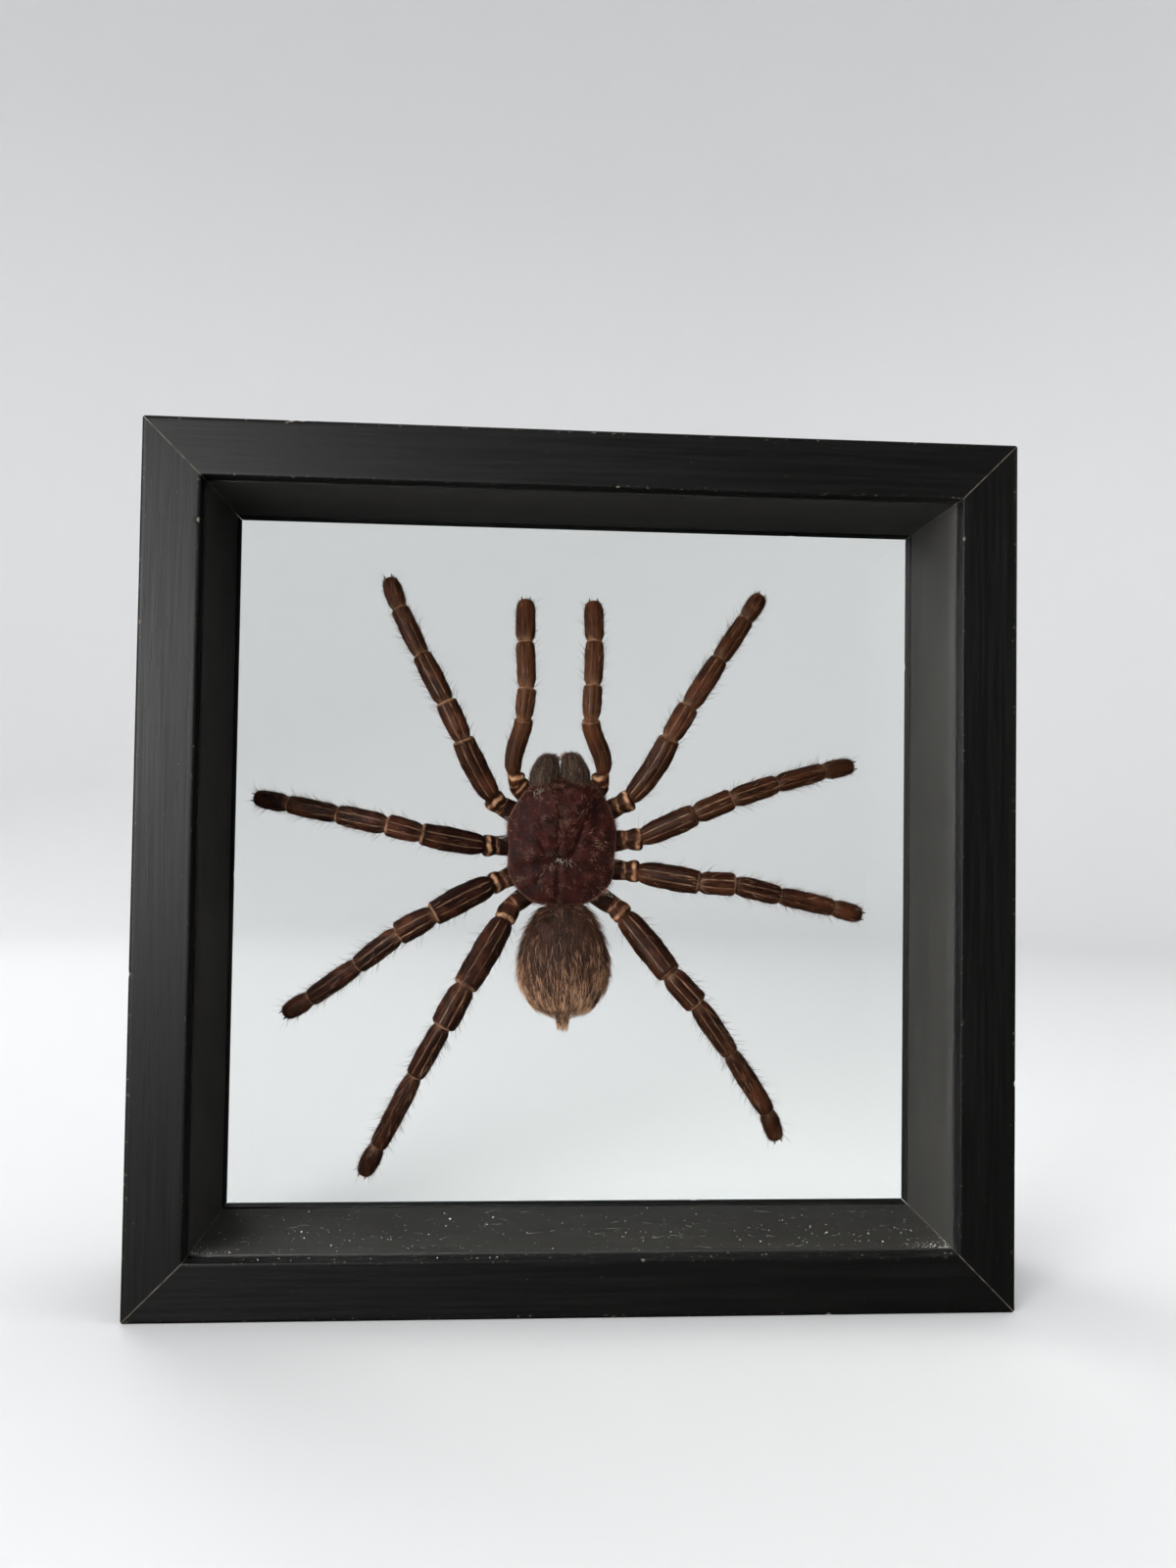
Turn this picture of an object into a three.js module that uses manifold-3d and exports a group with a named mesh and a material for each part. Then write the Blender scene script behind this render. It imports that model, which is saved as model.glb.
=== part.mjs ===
// A tarantula specimen floating between two panes of glass in a deep square wooden frame.
// Millimetres, +Z up. The origin is the centre of the frame's footprint: X runs along the
// frame's width, the front is at -Y, and the frame stands on its bottom rail at Z = 0.

import * as THREE from 'three';
import { mergeVertices } from 'three/addons/utils/BufferGeometryUtils.js';
import Module from 'manifold-3d';

const wasm = await Module();
wasm.setup();

// ---- Frame: four mitred rails of one moulding ----
const FRAME_SIZE = 250; // outside width and height
const FRAME_DEPTH = 52; // front face to back face
const RAIL_WIDTH = 16.4; // seen from the front
const LIP_DEPTH = 4.6; // wood in front of the front pane, and behind the rear pane
const GLASS_THICKNESS = 2;
const GROOVE_CLEARANCE = 0.3; // around the glass on every side
const GROOVE_DEPTH = 6;
const EASED_EDGE = 0.7; // radius of the sanded outer edges
const INNER_EDGE = 0.35; // radius of the sanded sight edges
const ARC_STEPS = 2;
const MITRE_GAP = 0.3;

// ---- Spider: where it is glued, seen from the front ----
const SPIDER_ACROSS = -5; // from the frame's centre line
const SPIDER_UP = 3; // from the frame's centre
const SEAT_GAP = 0.3; // kept between pieces that touch
const MERGE_DISTANCE = 1e-4; // corners nearer than this are one corner

// ---- Body: eggs, each with its centre across, along the body and off the rear pane ----
// Bluntness 2 is an ellipse, narrowing is how much narrower the head end is.
const CARAPACE = {
  across: 0, along: 2.6, off: 8, halfWidth: 16.3, halfLength: 18.6, top: 6.2, bottom: 6,
  bluntness: 2.8, narrowing: 0.3, sides: 28, rings: 14,
};
const ABDOMEN = {
  across: 1.3, along: -33.4, off: 9.9, halfWidth: 14.4, halfLength: 16.4, top: 9, bottom: 9,
  bluntness: 2.4, narrowing: 0.26, sides: 24, rings: 14,
};
const CHELICERA = {
  across: 4.75, along: 24.8, off: 8.2, halfWidth: 4.55, halfLength: 7, top: 5, bottom: 5,
  bluntness: 2.4, narrowing: 0.12, sides: 14, rings: 10,
};
const JAW_MIDLINE = -0.8;
const PEDICEL = { radius: 2.6, length: 2.4, along: -15.4, off: 7, sides: 12 };
const FANG = {
  across: 3.4, length: 10, rootRadius: 1.2, rootAlong: 29, rootOff: 1.9, sag: 0.2, drop: 0.2,
};
const SPINNERET = { across: 1.25, along: -48.4, off: 7, length: 6.5, rootRadius: 1.15, tipRadius: 0.7 };
const GLUE_PAD = { footRadius: 5, topRadius: 4, height: 1.3, across: 0, along: 0.5, sides: 20 };
const FANG_SIDES = 8;
const FANG_RINGS = 5;
const SPINNERET_SIDES = 8;

// ---- Limbs ----
// Each limb is the list of its joints, from the coxa's seat in the body to the claw:
// [across, along the body towards the head, off the rear pane].
const LEG_JOINTS = {
  leg_left_1: [[-9, 8.5, 6], [-20, 15.5, 7], [-21, 16.5, 7.5], [-26.5, 25.5, 9.7],
    [-31, 35, 11.5], [-36.5, 46.5, 11], [-44.5, 61.5, 7], [-52, 76.5, 4], [-55.5, 86, 2.9]],
  leg_left_2: [[-10, 2.5, 6], [-21.5, 2.5, 7], [-23, 2.5, 7.5], [-33, 4, 10.5],
    [-43, 6, 12.5], [-53.5, 8.5, 12], [-69, 11.5, 7.5], [-85, 14.5, 4], [-95.5, 16.5, 2.9]],
  leg_left_3: [[-9.5, -3.5, 6], [-19, -8.5, 7], [-20.5, -9, 7.5], [-30, -13.5, 10.7],
    [-39, -18.5, 13], [-49.5, -24.5, 12.5], [-62, -34.5, 8], [-77, -45.5, 4], [-85, -50.5, 2.9]],
  leg_left_4: [[-7.5, -9, 6], [-15.5, -16.5, 7], [-17, -19.5, 7.5], [-23, -30, 11.5],
    [-29, -40, 14.5], [-35.5, -52, 14], [-44, -68, 9], [-55.5, -91, 4.5], [-60, -100, 2.9]],
  leg_right_1: [[8.5, 8.5, 6], [18.5, 16, 7], [20.5, 17, 7.5], [26.5, 24.5, 9.5],
    [33, 36.5, 11.5], [39, 46.5, 11], [49, 62, 7.5], [58, 75.5, 4.5], [63, 83.5, 3.5]],
  leg_right_2: [[9.5, 2.5, 6], [21, 5, 7], [24, 5, 7.5], [32.5, 9, 10.5],
    [41, 13, 12.5], [52.5, 18, 12], [67.5, 23, 7.5], [83.5, 27.5, 4], [93.5, 29.5, 2.9]],
  leg_right_3: [[9.5, -3.5, 6], [21, -5, 7], [23, -5, 7.5], [33, -6.5, 10.7],
    [42.5, -8, 13], [53.5, -8.5, 12.5], [68.5, -12, 8], [87, -16, 4], [96.5, -18.5, 2.9]],
  leg_right_4: [[7.5, -9, 6], [17.5, -16.5, 7], [19, -18, 7.5], [26.5, -27, 11.5],
    [33.5, -36, 14.5], [42, -45, 14], [53.5, -61, 9], [66.5, -80.5, 4.5], [70, -89.5, 2.9]],
};
const LEG_RADII = [2.7, 3.3, 3.5, 3.6, 3.4, 3.3, 3, 2.7, 2.4];
const PALP_JOINTS = {
  pedipalp_left: [[-11, 16.5, 5], [-14.5, 22, 6.5], [-14.5, 24, 7], [-15.5, 29, 8],
    [-13.5, 37, 9.5], [-12.5, 42, 11], [-11.5, 51.5, 10], [-12, 67, 6.5], [-12, 81, 3.1]],
  pedipalp_right: [[10, 16.5, 5], [12.5, 22.5, 6.5], [12, 24.5, 7], [12.5, 30, 8],
    [9.5, 37.5, 9.5], [8.5, 42, 11], [9, 53, 10], [9.5, 67.5, 6.5], [9, 81, 3.1]],
};
const PALP_RADII = [2.4, 2.7, 2.7, 2.6, 2.8, 2.9, 2.8, 2.8, 2.4];
const LEG_BENDS = [3]; // places in the list where the femur only bends, with no joint
const PALP_BENDS = [3, 4];
const SOCKET_JOINTS = 4; // how much of a limb its socket in the body follows
const LIMB_SIDES = 8;
const SEGMENT_RINGS = [[0.08, 0.88], [0.3, 1.02], [0.75, 1.05], [0.94, 0.92]]; // [place, swell]
const SHORT_SEGMENT_RINGS = [[0.5, 0.9]];
const CLAW_TAPER = 0.6;

// ---- Finishes ----
const stainedWood = new THREE.MeshStandardMaterial({ color: 0x1d1b1a, roughness: 0.5, metalness: 0 });
const clearGlass = new THREE.MeshStandardMaterial({
  color: 0xf4f8f6, roughness: 0.05, metalness: 0, transparent: true, opacity: 0.15,
});
const clearGlue = new THREE.MeshStandardMaterial({ color: 0xe8dfc8, roughness: 0.3, metalness: 0 });
const carapaceFuzz = new THREE.MeshStandardMaterial({ color: 0x4a2f20, roughness: 0.8, metalness: 0 });
const abdomenCoat = new THREE.MeshStandardMaterial({ color: 0x5a3b28, roughness: 0.9, metalness: 0 });
const velvet = new THREE.MeshStandardMaterial({ color: 0x5e4a3a, roughness: 0.85, metalness: 0 });
const darkCuticle = new THREE.MeshStandardMaterial({ color: 0x3a2015, roughness: 0.55, metalness: 0 });
const fangCuticle = new THREE.MeshStandardMaterial({ color: 0x120c0a, roughness: 0.2, metalness: 0 });

// ---- Helpers ----

/** A named mesh of one finish. */
function piece(name, geometry, material) {
  const mesh = new THREE.Mesh(geometry, material);
  mesh.name = name;
  return mesh;
}

/** The solid inside a closed geometry whose points are already in place. */
function toSolid(geometry) {
  const bare = geometry.clone();
  bare.deleteAttribute('normal');
  bare.deleteAttribute('uv');
  const merged = mergeVertices(bare, MERGE_DISTANCE);
  return new wasm.Manifold(new wasm.Mesh({
    numProp: 3,
    vertProperties: new Float32Array(merged.attributes.position.array),
    triVerts: new Uint32Array(merged.index.array),
  }));
}

/** The surface of a solid, as a geometry. */
function toGeometry(solid) {
  const mesh = solid.getMesh();
  const geometry = new THREE.BufferGeometry();
  geometry.setAttribute('position', new THREE.BufferAttribute(mesh.vertProperties, 3));
  geometry.setIndex(new THREE.BufferAttribute(mesh.triVerts, 1));
  return geometry;
}

/** Moves every point of a geometry by a function of its place. */
function reshape(geometry, move) {
  const points = geometry.attributes.position;
  const point = new THREE.Vector3();
  for (let i = 0; i < points.count; i += 1) {
    point.fromBufferAttribute(points, i);
    move(point);
    points.setXYZ(i, point.x, point.y, point.z);
  }
  return geometry;
}

// ---- Rails ----

/** The moulding's section: x runs inwards from the outer face, y back from the front face. */
function railSection() {
  const section = new THREE.Shape();
  const grooveFloor = RAIL_WIDTH - GROOVE_DEPTH;
  const grooveWidth = GLASS_THICKNESS + 2 * GROOVE_CLEARANCE;
  const frontGroove = LIP_DEPTH - GROOVE_CLEARANCE;
  const rearGroove = FRAME_DEPTH - LIP_DEPTH - GLASS_THICKNESS - GROOVE_CLEARANCE;
  const quarter = Math.PI / 2;
  section.absarc(EASED_EDGE, EASED_EDGE, EASED_EDGE, 2 * quarter, 3 * quarter);
  section.absarc(RAIL_WIDTH - INNER_EDGE, INNER_EDGE, INNER_EDGE, -quarter, 0);
  for (const start of [frontGroove, rearGroove]) {
    section.lineTo(RAIL_WIDTH, start);
    section.lineTo(grooveFloor, start);
    section.lineTo(grooveFloor, start + grooveWidth);
    section.lineTo(RAIL_WIDTH, start + grooveWidth);
  }
  section.absarc(RAIL_WIDTH - INNER_EDGE, FRAME_DEPTH - INNER_EDGE, INNER_EDGE, 0, quarter);
  section.absarc(EASED_EDGE, FRAME_DEPTH - EASED_EDGE, EASED_EDGE, quarter, 2 * quarter);
  return section;
}

/** One rail, drawn out along Z, with both ends cut back at 45 degrees. */
function railGeometry() {
  const rail = new THREE.ExtrudeGeometry(railSection(), {
    depth: FRAME_SIZE, bevelEnabled: false, curveSegments: ARC_STEPS,
  });
  const endGap = MITRE_GAP * Math.SQRT1_2;
  return reshape(rail, (p) => {
    p.z += (p.z < FRAME_SIZE / 2 ? 1 : -1) * (p.x + endGap);
  });
}

/** The four rails, each a quarter turn on from the last. */
function makeFrame() {
  const frame = new THREE.Group();
  frame.position.z = FRAME_SIZE / 2;
  ['rail_bottom', 'rail_left', 'rail_top', 'rail_right'].forEach((name, quarterTurns) => {
    const turned = new THREE.Group();
    turned.rotation.y = (quarterTurns * Math.PI) / 2;
    const rail = piece(name, railGeometry(), stainedWood);
    rail.rotation.y = -Math.PI / 2;
    rail.position.set(FRAME_SIZE / 2, -FRAME_DEPTH / 2, -FRAME_SIZE / 2);
    turned.add(rail);
    frame.add(turned);
  });
  return frame;
}

// ---- Panes ----

/** The two panes, standing in the rails' grooves. */
function makePanes() {
  const panes = new THREE.Group();
  panes.position.z = FRAME_SIZE / 2;
  const side = FRAME_SIZE - 2 * (RAIL_WIDTH - GROOVE_DEPTH + GROOVE_CLEARANCE);
  const fromCentre = FRAME_DEPTH / 2 - LIP_DEPTH - GLASS_THICKNESS / 2;
  for (const [name, y] of [['pane_front', -fromCentre], ['pane_back', fromCentre]]) {
    const pane = piece(name, new THREE.BoxGeometry(side, GLASS_THICKNESS, side), clearGlass);
    pane.position.y = y;
    panes.add(pane);
  }
  return panes;
}

// ---- Spider: X across, Y along the body towards the head, Z off the rear pane ----

/** A limb through its joints: rings swell along each segment and pinch at each joint. */
function limbGeometry(joints, radii, bends, grow) {
  const rings = [];
  const last = joints.length - 1;
  for (let i = 0; i < last; i += 1) {
    const from = new THREE.Vector3(...joints[i]);
    const to = new THREE.Vector3(...joints[i + 1]);
    const along = to.clone().sub(from).normalize();
    const isShort = from.distanceTo(to) < radii[i];
    for (const [t, swell] of isShort ? SHORT_SEGMENT_RINGS : SEGMENT_RINGS) {
      const isBend = bends.includes(t < 0.5 ? i : i + 1);
      const radius = THREE.MathUtils.lerp(radii[i], radii[i + 1], t) * (isBend ? 1 : swell) + grow;
      rings.push({ centre: from.clone().lerp(to, t), along, radius });
    }
  }
  const tip = new THREE.Vector3(...joints[last]);
  rings.push({ centre: tip, along: rings.at(-1).along, radius: radii[last] * CLAW_TAPER + grow });

  const tube = new THREE.CylinderGeometry(1, 1, 1, LIMB_SIDES, rings.length - 1);
  const offPane = new THREE.Vector3(0, 0, 1);
  return reshape(tube, (p) => {
    const ring = rings[Math.round((0.5 + p.y) * (rings.length - 1))];
    const side = ring.along.clone().cross(offPane).normalize();
    const up = side.clone().cross(ring.along);
    const { x, z } = p;
    p.copy(ring.centre).addScaledVector(side, x * ring.radius).addScaledVector(up, z * ring.radius);
  });
}

/** A ball stretched to a blunt egg that lies along Y, and swollen all round by `grow`. */
function eggGeometry(egg, grow = 0) {
  return reshape(new THREE.SphereGeometry(1, egg.sides, egg.rings), (p) => {
    const ellipse = Math.sqrt(Math.max(1 - p.y * p.y, 0));
    const blunt = (1 - Math.abs(p.y) ** egg.bluntness) ** (1 / egg.bluntness);
    const swell = ellipse > 0 ? blunt / ellipse : 0;
    const narrow = 1 - egg.narrowing * Math.max(p.y, 0);
    p.x *= swell * narrow * (egg.halfWidth + grow);
    p.z *= swell * ((p.z > 0 ? egg.top : egg.bottom) + grow);
    p.y *= egg.halfLength + grow;
    p.add(new THREE.Vector3(egg.across, egg.along, egg.off));
  });
}

/** The body's front half, with a socket for each limb, a stub behind and room for the jaws. */
function cephalothoraxGeometry(jaws) {
  const stub = new THREE.CylinderGeometry(PEDICEL.radius, PEDICEL.radius, PEDICEL.length, PEDICEL.sides);
  stub.translate(CARAPACE.across, PEDICEL.along, PEDICEL.off);
  let solid = toSolid(eggGeometry(CARAPACE)).add(toSolid(stub));
  for (const joints of Object.values(LEG_JOINTS)) {
    const root = joints.slice(0, SOCKET_JOINTS);
    solid = solid.subtract(toSolid(limbGeometry(root, LEG_RADII, LEG_BENDS, SEAT_GAP)));
  }
  for (const joints of Object.values(PALP_JOINTS)) {
    const root = joints.slice(0, SOCKET_JOINTS);
    solid = solid.subtract(toSolid(limbGeometry(root, PALP_RADII, PALP_BENDS, SEAT_GAP)));
  }
  for (const jaw of jaws) {
    solid = solid.subtract(toSolid(jaw));
  }
  return toGeometry(solid);
}

/** One jaw, an egg that points forwards beside the midline. */
function cheliceraGeometry(side, grow) {
  return eggGeometry({ ...CHELICERA, across: JAW_MIDLINE + side * CHELICERA.across }, grow);
}

/** A fang folded back under its jaw, curved like a thorn. */
function fangGeometry(side) {
  const root = JAW_MIDLINE + side * FANG.across;
  const thorn = new THREE.ConeGeometry(FANG.rootRadius, FANG.length, FANG_SIDES, FANG_RINGS);
  return reshape(thorn, (p) => {
    const t = p.y / FANG.length + 0.5;
    const droop = FANG.sag * 4 * t * (1 - t) + FANG.drop * t;
    p.set(root - p.x, FANG.rootAlong - t * FANG.length, FANG.rootOff + p.z - droop);
  });
}

/** A spinneret, pointing back past the abdomen. */
function spinneretGeometry(side, grow) {
  const { rootRadius, tipRadius, length, across, along, off } = SPINNERET;
  const finger = new THREE.CylinderGeometry(
    rootRadius + grow, tipRadius + grow, length + 2 * grow, SPINNERET_SIDES,
  );
  finger.translate(ABDOMEN.across + side * across, along - length / 2, off);
  return finger;
}

/** The abdomen, with a socket for each spinneret. */
function abdomenGeometry(spinnerets) {
  let solid = toSolid(eggGeometry(ABDOMEN));
  for (const spinneret of spinnerets) {
    solid = solid.subtract(toSolid(spinneret));
  }
  return toGeometry(solid);
}

/** The dried spider on its glue pad. */
function makeSpider() {
  const spider = new THREE.Group();
  const rearPaneFace = FRAME_DEPTH / 2 - LIP_DEPTH - GLASS_THICKNESS;
  spider.rotation.x = Math.PI / 2;
  spider.position.set(SPIDER_ACROSS, rearPaneFace, FRAME_SIZE / 2 + SPIDER_UP);

  const sides = [['left', -1], ['right', 1]];
  const jawRoom = sides.map(([, side]) => cheliceraGeometry(side, SEAT_GAP));
  const spinneretRoom = sides.map(([, side]) => spinneretGeometry(side, SEAT_GAP));
  spider.add(piece('cephalothorax', cephalothoraxGeometry(jawRoom), carapaceFuzz));
  spider.add(piece('abdomen', abdomenGeometry(spinneretRoom), abdomenCoat));
  for (const [name, side] of sides) {
    spider.add(piece(`chelicera_${name}`, cheliceraGeometry(side, 0), velvet));
    spider.add(piece(`fang_${name}`, fangGeometry(side), fangCuticle));
    spider.add(piece(`spinneret_${name}`, spinneretGeometry(side, 0), abdomenCoat));
  }
  for (const [name, joints] of Object.entries(LEG_JOINTS)) {
    spider.add(piece(name, limbGeometry(joints, LEG_RADII, LEG_BENDS, 0), darkCuticle));
  }
  for (const [name, joints] of Object.entries(PALP_JOINTS)) {
    spider.add(piece(name, limbGeometry(joints, PALP_RADII, PALP_BENDS, 0), darkCuticle));
  }

  const { topRadius, footRadius, height } = GLUE_PAD;
  const pad = new THREE.CylinderGeometry(topRadius, footRadius, height, GLUE_PAD.sides);
  pad.rotateX(Math.PI / 2);
  pad.translate(GLUE_PAD.across, GLUE_PAD.along, height / 2 + SEAT_GAP);
  spider.add(piece('glue_pad', pad, clearGlue));
  return spider;
}

const specimen = new THREE.Group();
specimen.add(makeFrame(), makePanes(), makeSpider());

export default specimen;
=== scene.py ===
import math

import bmesh
import bpy
import numpy as np
from mathutils import Matrix, Vector, noise
from mathutils.bvhtree import BVHTree


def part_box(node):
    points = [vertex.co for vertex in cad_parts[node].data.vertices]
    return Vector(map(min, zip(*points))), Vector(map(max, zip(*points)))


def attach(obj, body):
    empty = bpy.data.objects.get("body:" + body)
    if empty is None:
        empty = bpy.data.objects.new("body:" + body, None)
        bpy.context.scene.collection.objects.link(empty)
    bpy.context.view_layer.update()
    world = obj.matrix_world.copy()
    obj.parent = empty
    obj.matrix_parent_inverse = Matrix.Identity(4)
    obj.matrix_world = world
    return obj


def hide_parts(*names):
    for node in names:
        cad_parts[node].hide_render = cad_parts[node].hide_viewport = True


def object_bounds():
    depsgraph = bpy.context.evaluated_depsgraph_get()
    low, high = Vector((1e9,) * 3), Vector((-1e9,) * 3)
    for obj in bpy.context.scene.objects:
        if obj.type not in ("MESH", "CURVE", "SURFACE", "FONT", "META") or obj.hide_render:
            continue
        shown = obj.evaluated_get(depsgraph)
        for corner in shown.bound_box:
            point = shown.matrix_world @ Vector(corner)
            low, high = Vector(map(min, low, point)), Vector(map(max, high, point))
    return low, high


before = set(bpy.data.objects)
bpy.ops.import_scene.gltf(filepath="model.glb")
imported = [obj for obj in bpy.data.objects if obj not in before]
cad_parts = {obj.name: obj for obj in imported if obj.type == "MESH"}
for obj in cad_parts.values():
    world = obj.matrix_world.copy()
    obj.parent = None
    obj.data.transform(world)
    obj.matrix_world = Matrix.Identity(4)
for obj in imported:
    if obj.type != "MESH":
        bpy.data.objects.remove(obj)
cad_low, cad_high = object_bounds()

# ---- The four rails ----
# Lengths of one softwood moulding, mitred and glued into a square, sanded by hand along the
# edges and stained black. Two saw cuts in each inner side take the edges of the panes, and
# pale wood shows where the mitres are rubbed and where an edge has been knocked.
MM = 0.001
SIDE = (cad_high.x - cad_low.x) / MM
DEPTH = (cad_high.y - cad_low.y) / MM
RAIL_WIDTH = (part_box("rail_top")[1].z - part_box("rail_top")[0].z) / MM
PANE_LOW, PANE_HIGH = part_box("pane_back")
SAW_CLEARANCE = 0.3
GROOVE_NEAR = PANE_LOW.y / MM - SAW_CLEARANCE
GROOVE_FAR = PANE_HIGH.y / MM + SAW_CLEARANCE
GROOVE_FLOOR = SIDE / 2 - PANE_HIGH.x / MM - SAW_CLEARANCE
OUTER_EDGE, SIGHT_EDGE, GROOVE_EDGE = 0.95, 0.45, 0.18
CORNER_ROUND, CORNER_STEPS = 0.8, 4
MITRE_GAP = 0.07
LENGTH_CUTS = 110
UNEVEN = 0.07
FINE = 1e-3
# Each rail in turn, clockwise from below, and its knocks: place along it, front or back,
# outer or sight edge, depth.
KNOCKS = {
    "rail_bottom": [(18, -1, 1, 0.28), (71, -1, 0, 0.35), (-98, 1, 0, 0.4), (40, 1, 1, 0.25)],
    "rail_left": [(-96, -1, 1, 0.35), (30, -1, 0, 0.3), (88, 1, 0, 0.4), (5, 1, 1, 0.25)],
    "rail_top": [
        (84, -1, 0, 0.35), (81, -1, 0, 0.25), (-8, -1, 1, 0.25), (52, 1, 0, 0.35), (-70, 1, 1, 0.25),
    ],
    "rail_right": [(97, -1, 1, 0.3), (-60, -1, 0, 0.35), (-15, 1, 0, 0.4), (66, 1, 1, 0.25)],
}
KNOCK_REACH, DEEP_KNOCK = 1.25, 0.3
KNOCK_CUTS = (-1.3, -0.85, -0.45, -0.15, 0.15, 0.45, 0.85, 1.3)
GRAIN_ALONG, GRAIN_ACROSS = 26, 900
STAIN_DARK, STAIN_LIGHT = (0.0026, 0.0024, 0.0022), (0.0046, 0.0043, 0.004)
# The grey laid on the inner faces between the panes is partly a dust film and partly a painted reflection of
# the glass over them.
DUST_AND_REFLECTION_GREY, BARE_WOOD = (0.05, 0.046, 0.042), (0.42, 0.36, 0.28)
rng = np.random.default_rng(7)
noise.seed_set(7)


def put(sockets, name, value):
    """Sets an input to a value, or links it to another node's output."""
    if isinstance(value, bpy.types.NodeSocket):
        value.id_data.links.new(value, sockets[name])
    else:
        sockets[name].default_value = value


def add_node(tree, kind, inputs=(), **settings):
    """Adds a shader node, with its settings and its inputs."""
    node = tree.nodes.new("ShaderNode" + kind)
    for setting, value in settings.items():
        setattr(node, setting, value)
    for name, value in dict(inputs).items():
        put(node.inputs, name, value)
    return node


def sums(operation, first, second=0.0):
    """The result of one sum of numbers."""
    return add_node(first.id_data, "Math", {0: first, 1: second}, operation=operation).outputs[0]


def times(first, second):
    """Two numbers multiplied."""
    return sums("MULTIPLY", first, second)


def fade(value, start, end, low=0.0, high=1.0):
    """A smooth step from low to high, as value goes from start to end."""
    inputs = {"Value": value, "From Min": start, "From Max": end, "To Min": low, "To Max": high}
    return add_node(value.id_data, "MapRange", inputs, interpolation_type="SMOOTHSTEP").outputs["Result"]


def mottle(place, size, detail=4.0, roughness=0.55):
    """Noise whose patches are about one unit divided by size."""
    inputs = {"Vector": place, "Scale": size, "Detail": detail, "Roughness": roughness}
    return add_node(place.id_data, "TexNoise", inputs).outputs["Fac"]


def stretched(place, scale):
    """Places drawn out, so that a pattern on them runs lengthwise."""
    return add_node(place.id_data, "Mapping", {"Vector": place, "Scale": scale}).outputs["Vector"]


def marked(place, name, output="Fac"):
    """What mark() kept under a name."""
    return add_node(place.id_data, "Attribute", attribute_name=name).outputs[output]


def blend(share, first, second):
    """A mix of two colours, each a colour or an output."""
    node = add_node(share.id_data, "Mix", {0: share}, data_type="RGBA")
    for index, colour in ((6, first), (7, second)):
        put(node.inputs, index, colour if isinstance(colour, bpy.types.NodeSocket) else (*colour, 1))
    return node.outputs[2]


def raise_surface(shader, height, depth):
    """Raises the surface by height, a share of depth in metres."""
    bump = add_node(height.id_data, "Bump", {"Height": height, "Distance": depth, "Strength": 1})
    put(shader.inputs, "Normal", bump.outputs["Normal"])


def swap_shader(shader, share, other):
    """Lets another shader answer a share of the light."""
    tree = shader.id_data
    both = add_node(tree, "MixShader", {0: share, 1: shader.outputs[0], 2: other.outputs[0]})
    put(tree.nodes["Material Output"].inputs, "Surface", both.outputs[0])


def new_finish(name, **plain):
    """A material, its shader with the values that are the same all over, and places on a piece."""
    material = bpy.data.materials.new(name)
    material.use_nodes = True
    tree = material.node_tree
    shader = tree.nodes["Principled BSDF"]
    for setting, value in plain.items():
        shader.inputs[setting.replace("_", " ")].default_value = value
    return material, shader, add_node(tree, "TexCoord").outputs["Object"]


def finish_mesh(bm, name, place, sharp=None):
    """A shaded mesh from a bmesh, its faces outwards, put in its place."""
    bmesh.ops.recalc_face_normals(bm, faces=bm.faces)
    mesh = bpy.data.meshes.new(name)
    bm.to_mesh(mesh)
    bm.free()
    mesh.transform(place)
    mesh.shade_smooth()
    if sharp is not None:
        mesh.set_sharp_from_angle(angle=math.radians(sharp))
    return mesh


def mark(mesh, name, values):
    """Keeps one number for each point of a mesh."""
    kept = mesh.attributes.new(name, "FLOAT", "POINT")
    kept.data.foreach_set("value", np.asarray(values, np.float32))


def add_piece(mesh, material, slot, *nodes):
    """Puts a mesh in the scene as a piece that stands for its CAD nodes."""
    piece = bpy.data.objects.new(mesh.name, mesh)
    bpy.context.scene.collection.objects.link(piece)
    mesh.materials.append(material)
    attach(piece, "root")
    if nodes:
        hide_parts(*nodes)
    return mesh


def stained_wood(long_way):
    """Black stain over a long grain, rubbed pale at the mitres and on the knocks."""
    material, shader, place = new_finish(f"black stained wood along {long_way}", Specular_IOR_Level=0.28)
    drawn_out = stretched(place, [GRAIN_ALONG if way == long_way else GRAIN_ACROSS for way in "XYZ"])
    grain = mottle(drawn_out, 1, 7, 0.62)
    pores = fade(mottle(drawn_out, 3.1, 3), 0.62, 0.72)
    broad = fade(mottle(place, 38), 0.35, 0.8, 0, 0.45)
    stain = blend(broad, blend(fade(grain, 0.35, 0.68), STAIN_DARK, STAIN_LIGHT), STAIN_DARK)

    apart = add_node(place.id_data, "SeparateXYZ", {"Vector": place}).outputs
    up = sums("ABSOLUTE", sums("SUBTRACT", apart["Z"], SIDE / 2 * MM))
    from_mitre = sums("ABSOLUTE", sums("SUBTRACT", sums("ABSOLUTE", apart["X"]), up))
    patchy = fade(mottle(place, 420, 3), 0.3, 0.62, 0.25, 1)
    line = times(fade(from_mitre, 0.0003, 0.00012), patchy)
    specks = fade(mottle(place, 700, 3), 0.6, 0.75, 0, 0.6)
    worn = times(times(marked(place, "edge"), specks), 0.4)
    flecks = fade(mottle(place, 1300, 2), 0.76, 0.8, 0, 0.4)
    bare = times(line, 0.35)
    for pale in (fade(marked(place, "knock"), 0.3, 0.9, 0, 0.5), worn, flecks):
        bare = sums("MAXIMUM", bare, pale)
    # Painted reflection in part: the inner faces between the panes are greyed the way the glass's reflection
    # makes them look, and partly by dust.
    dust_and_reflection_film = times(marked(place, "film"), fade(grain, 0.3, 0.7, 0.45, 0.7))
    put(shader.inputs, "Base Color", blend(bare, blend(dust_and_reflection_film, stain, DUST_AND_REFLECTION_GREY), BARE_WOOD))
    put(shader.inputs, "Roughness", sums("ADD", fade(grain, 0.3, 0.75, 0.42, 0.5), times(bare, 0.3)))
    raise_surface(shader, sums("SUBTRACT", grain, times(pores, 0.35)), 0.00004)
    return material


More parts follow.
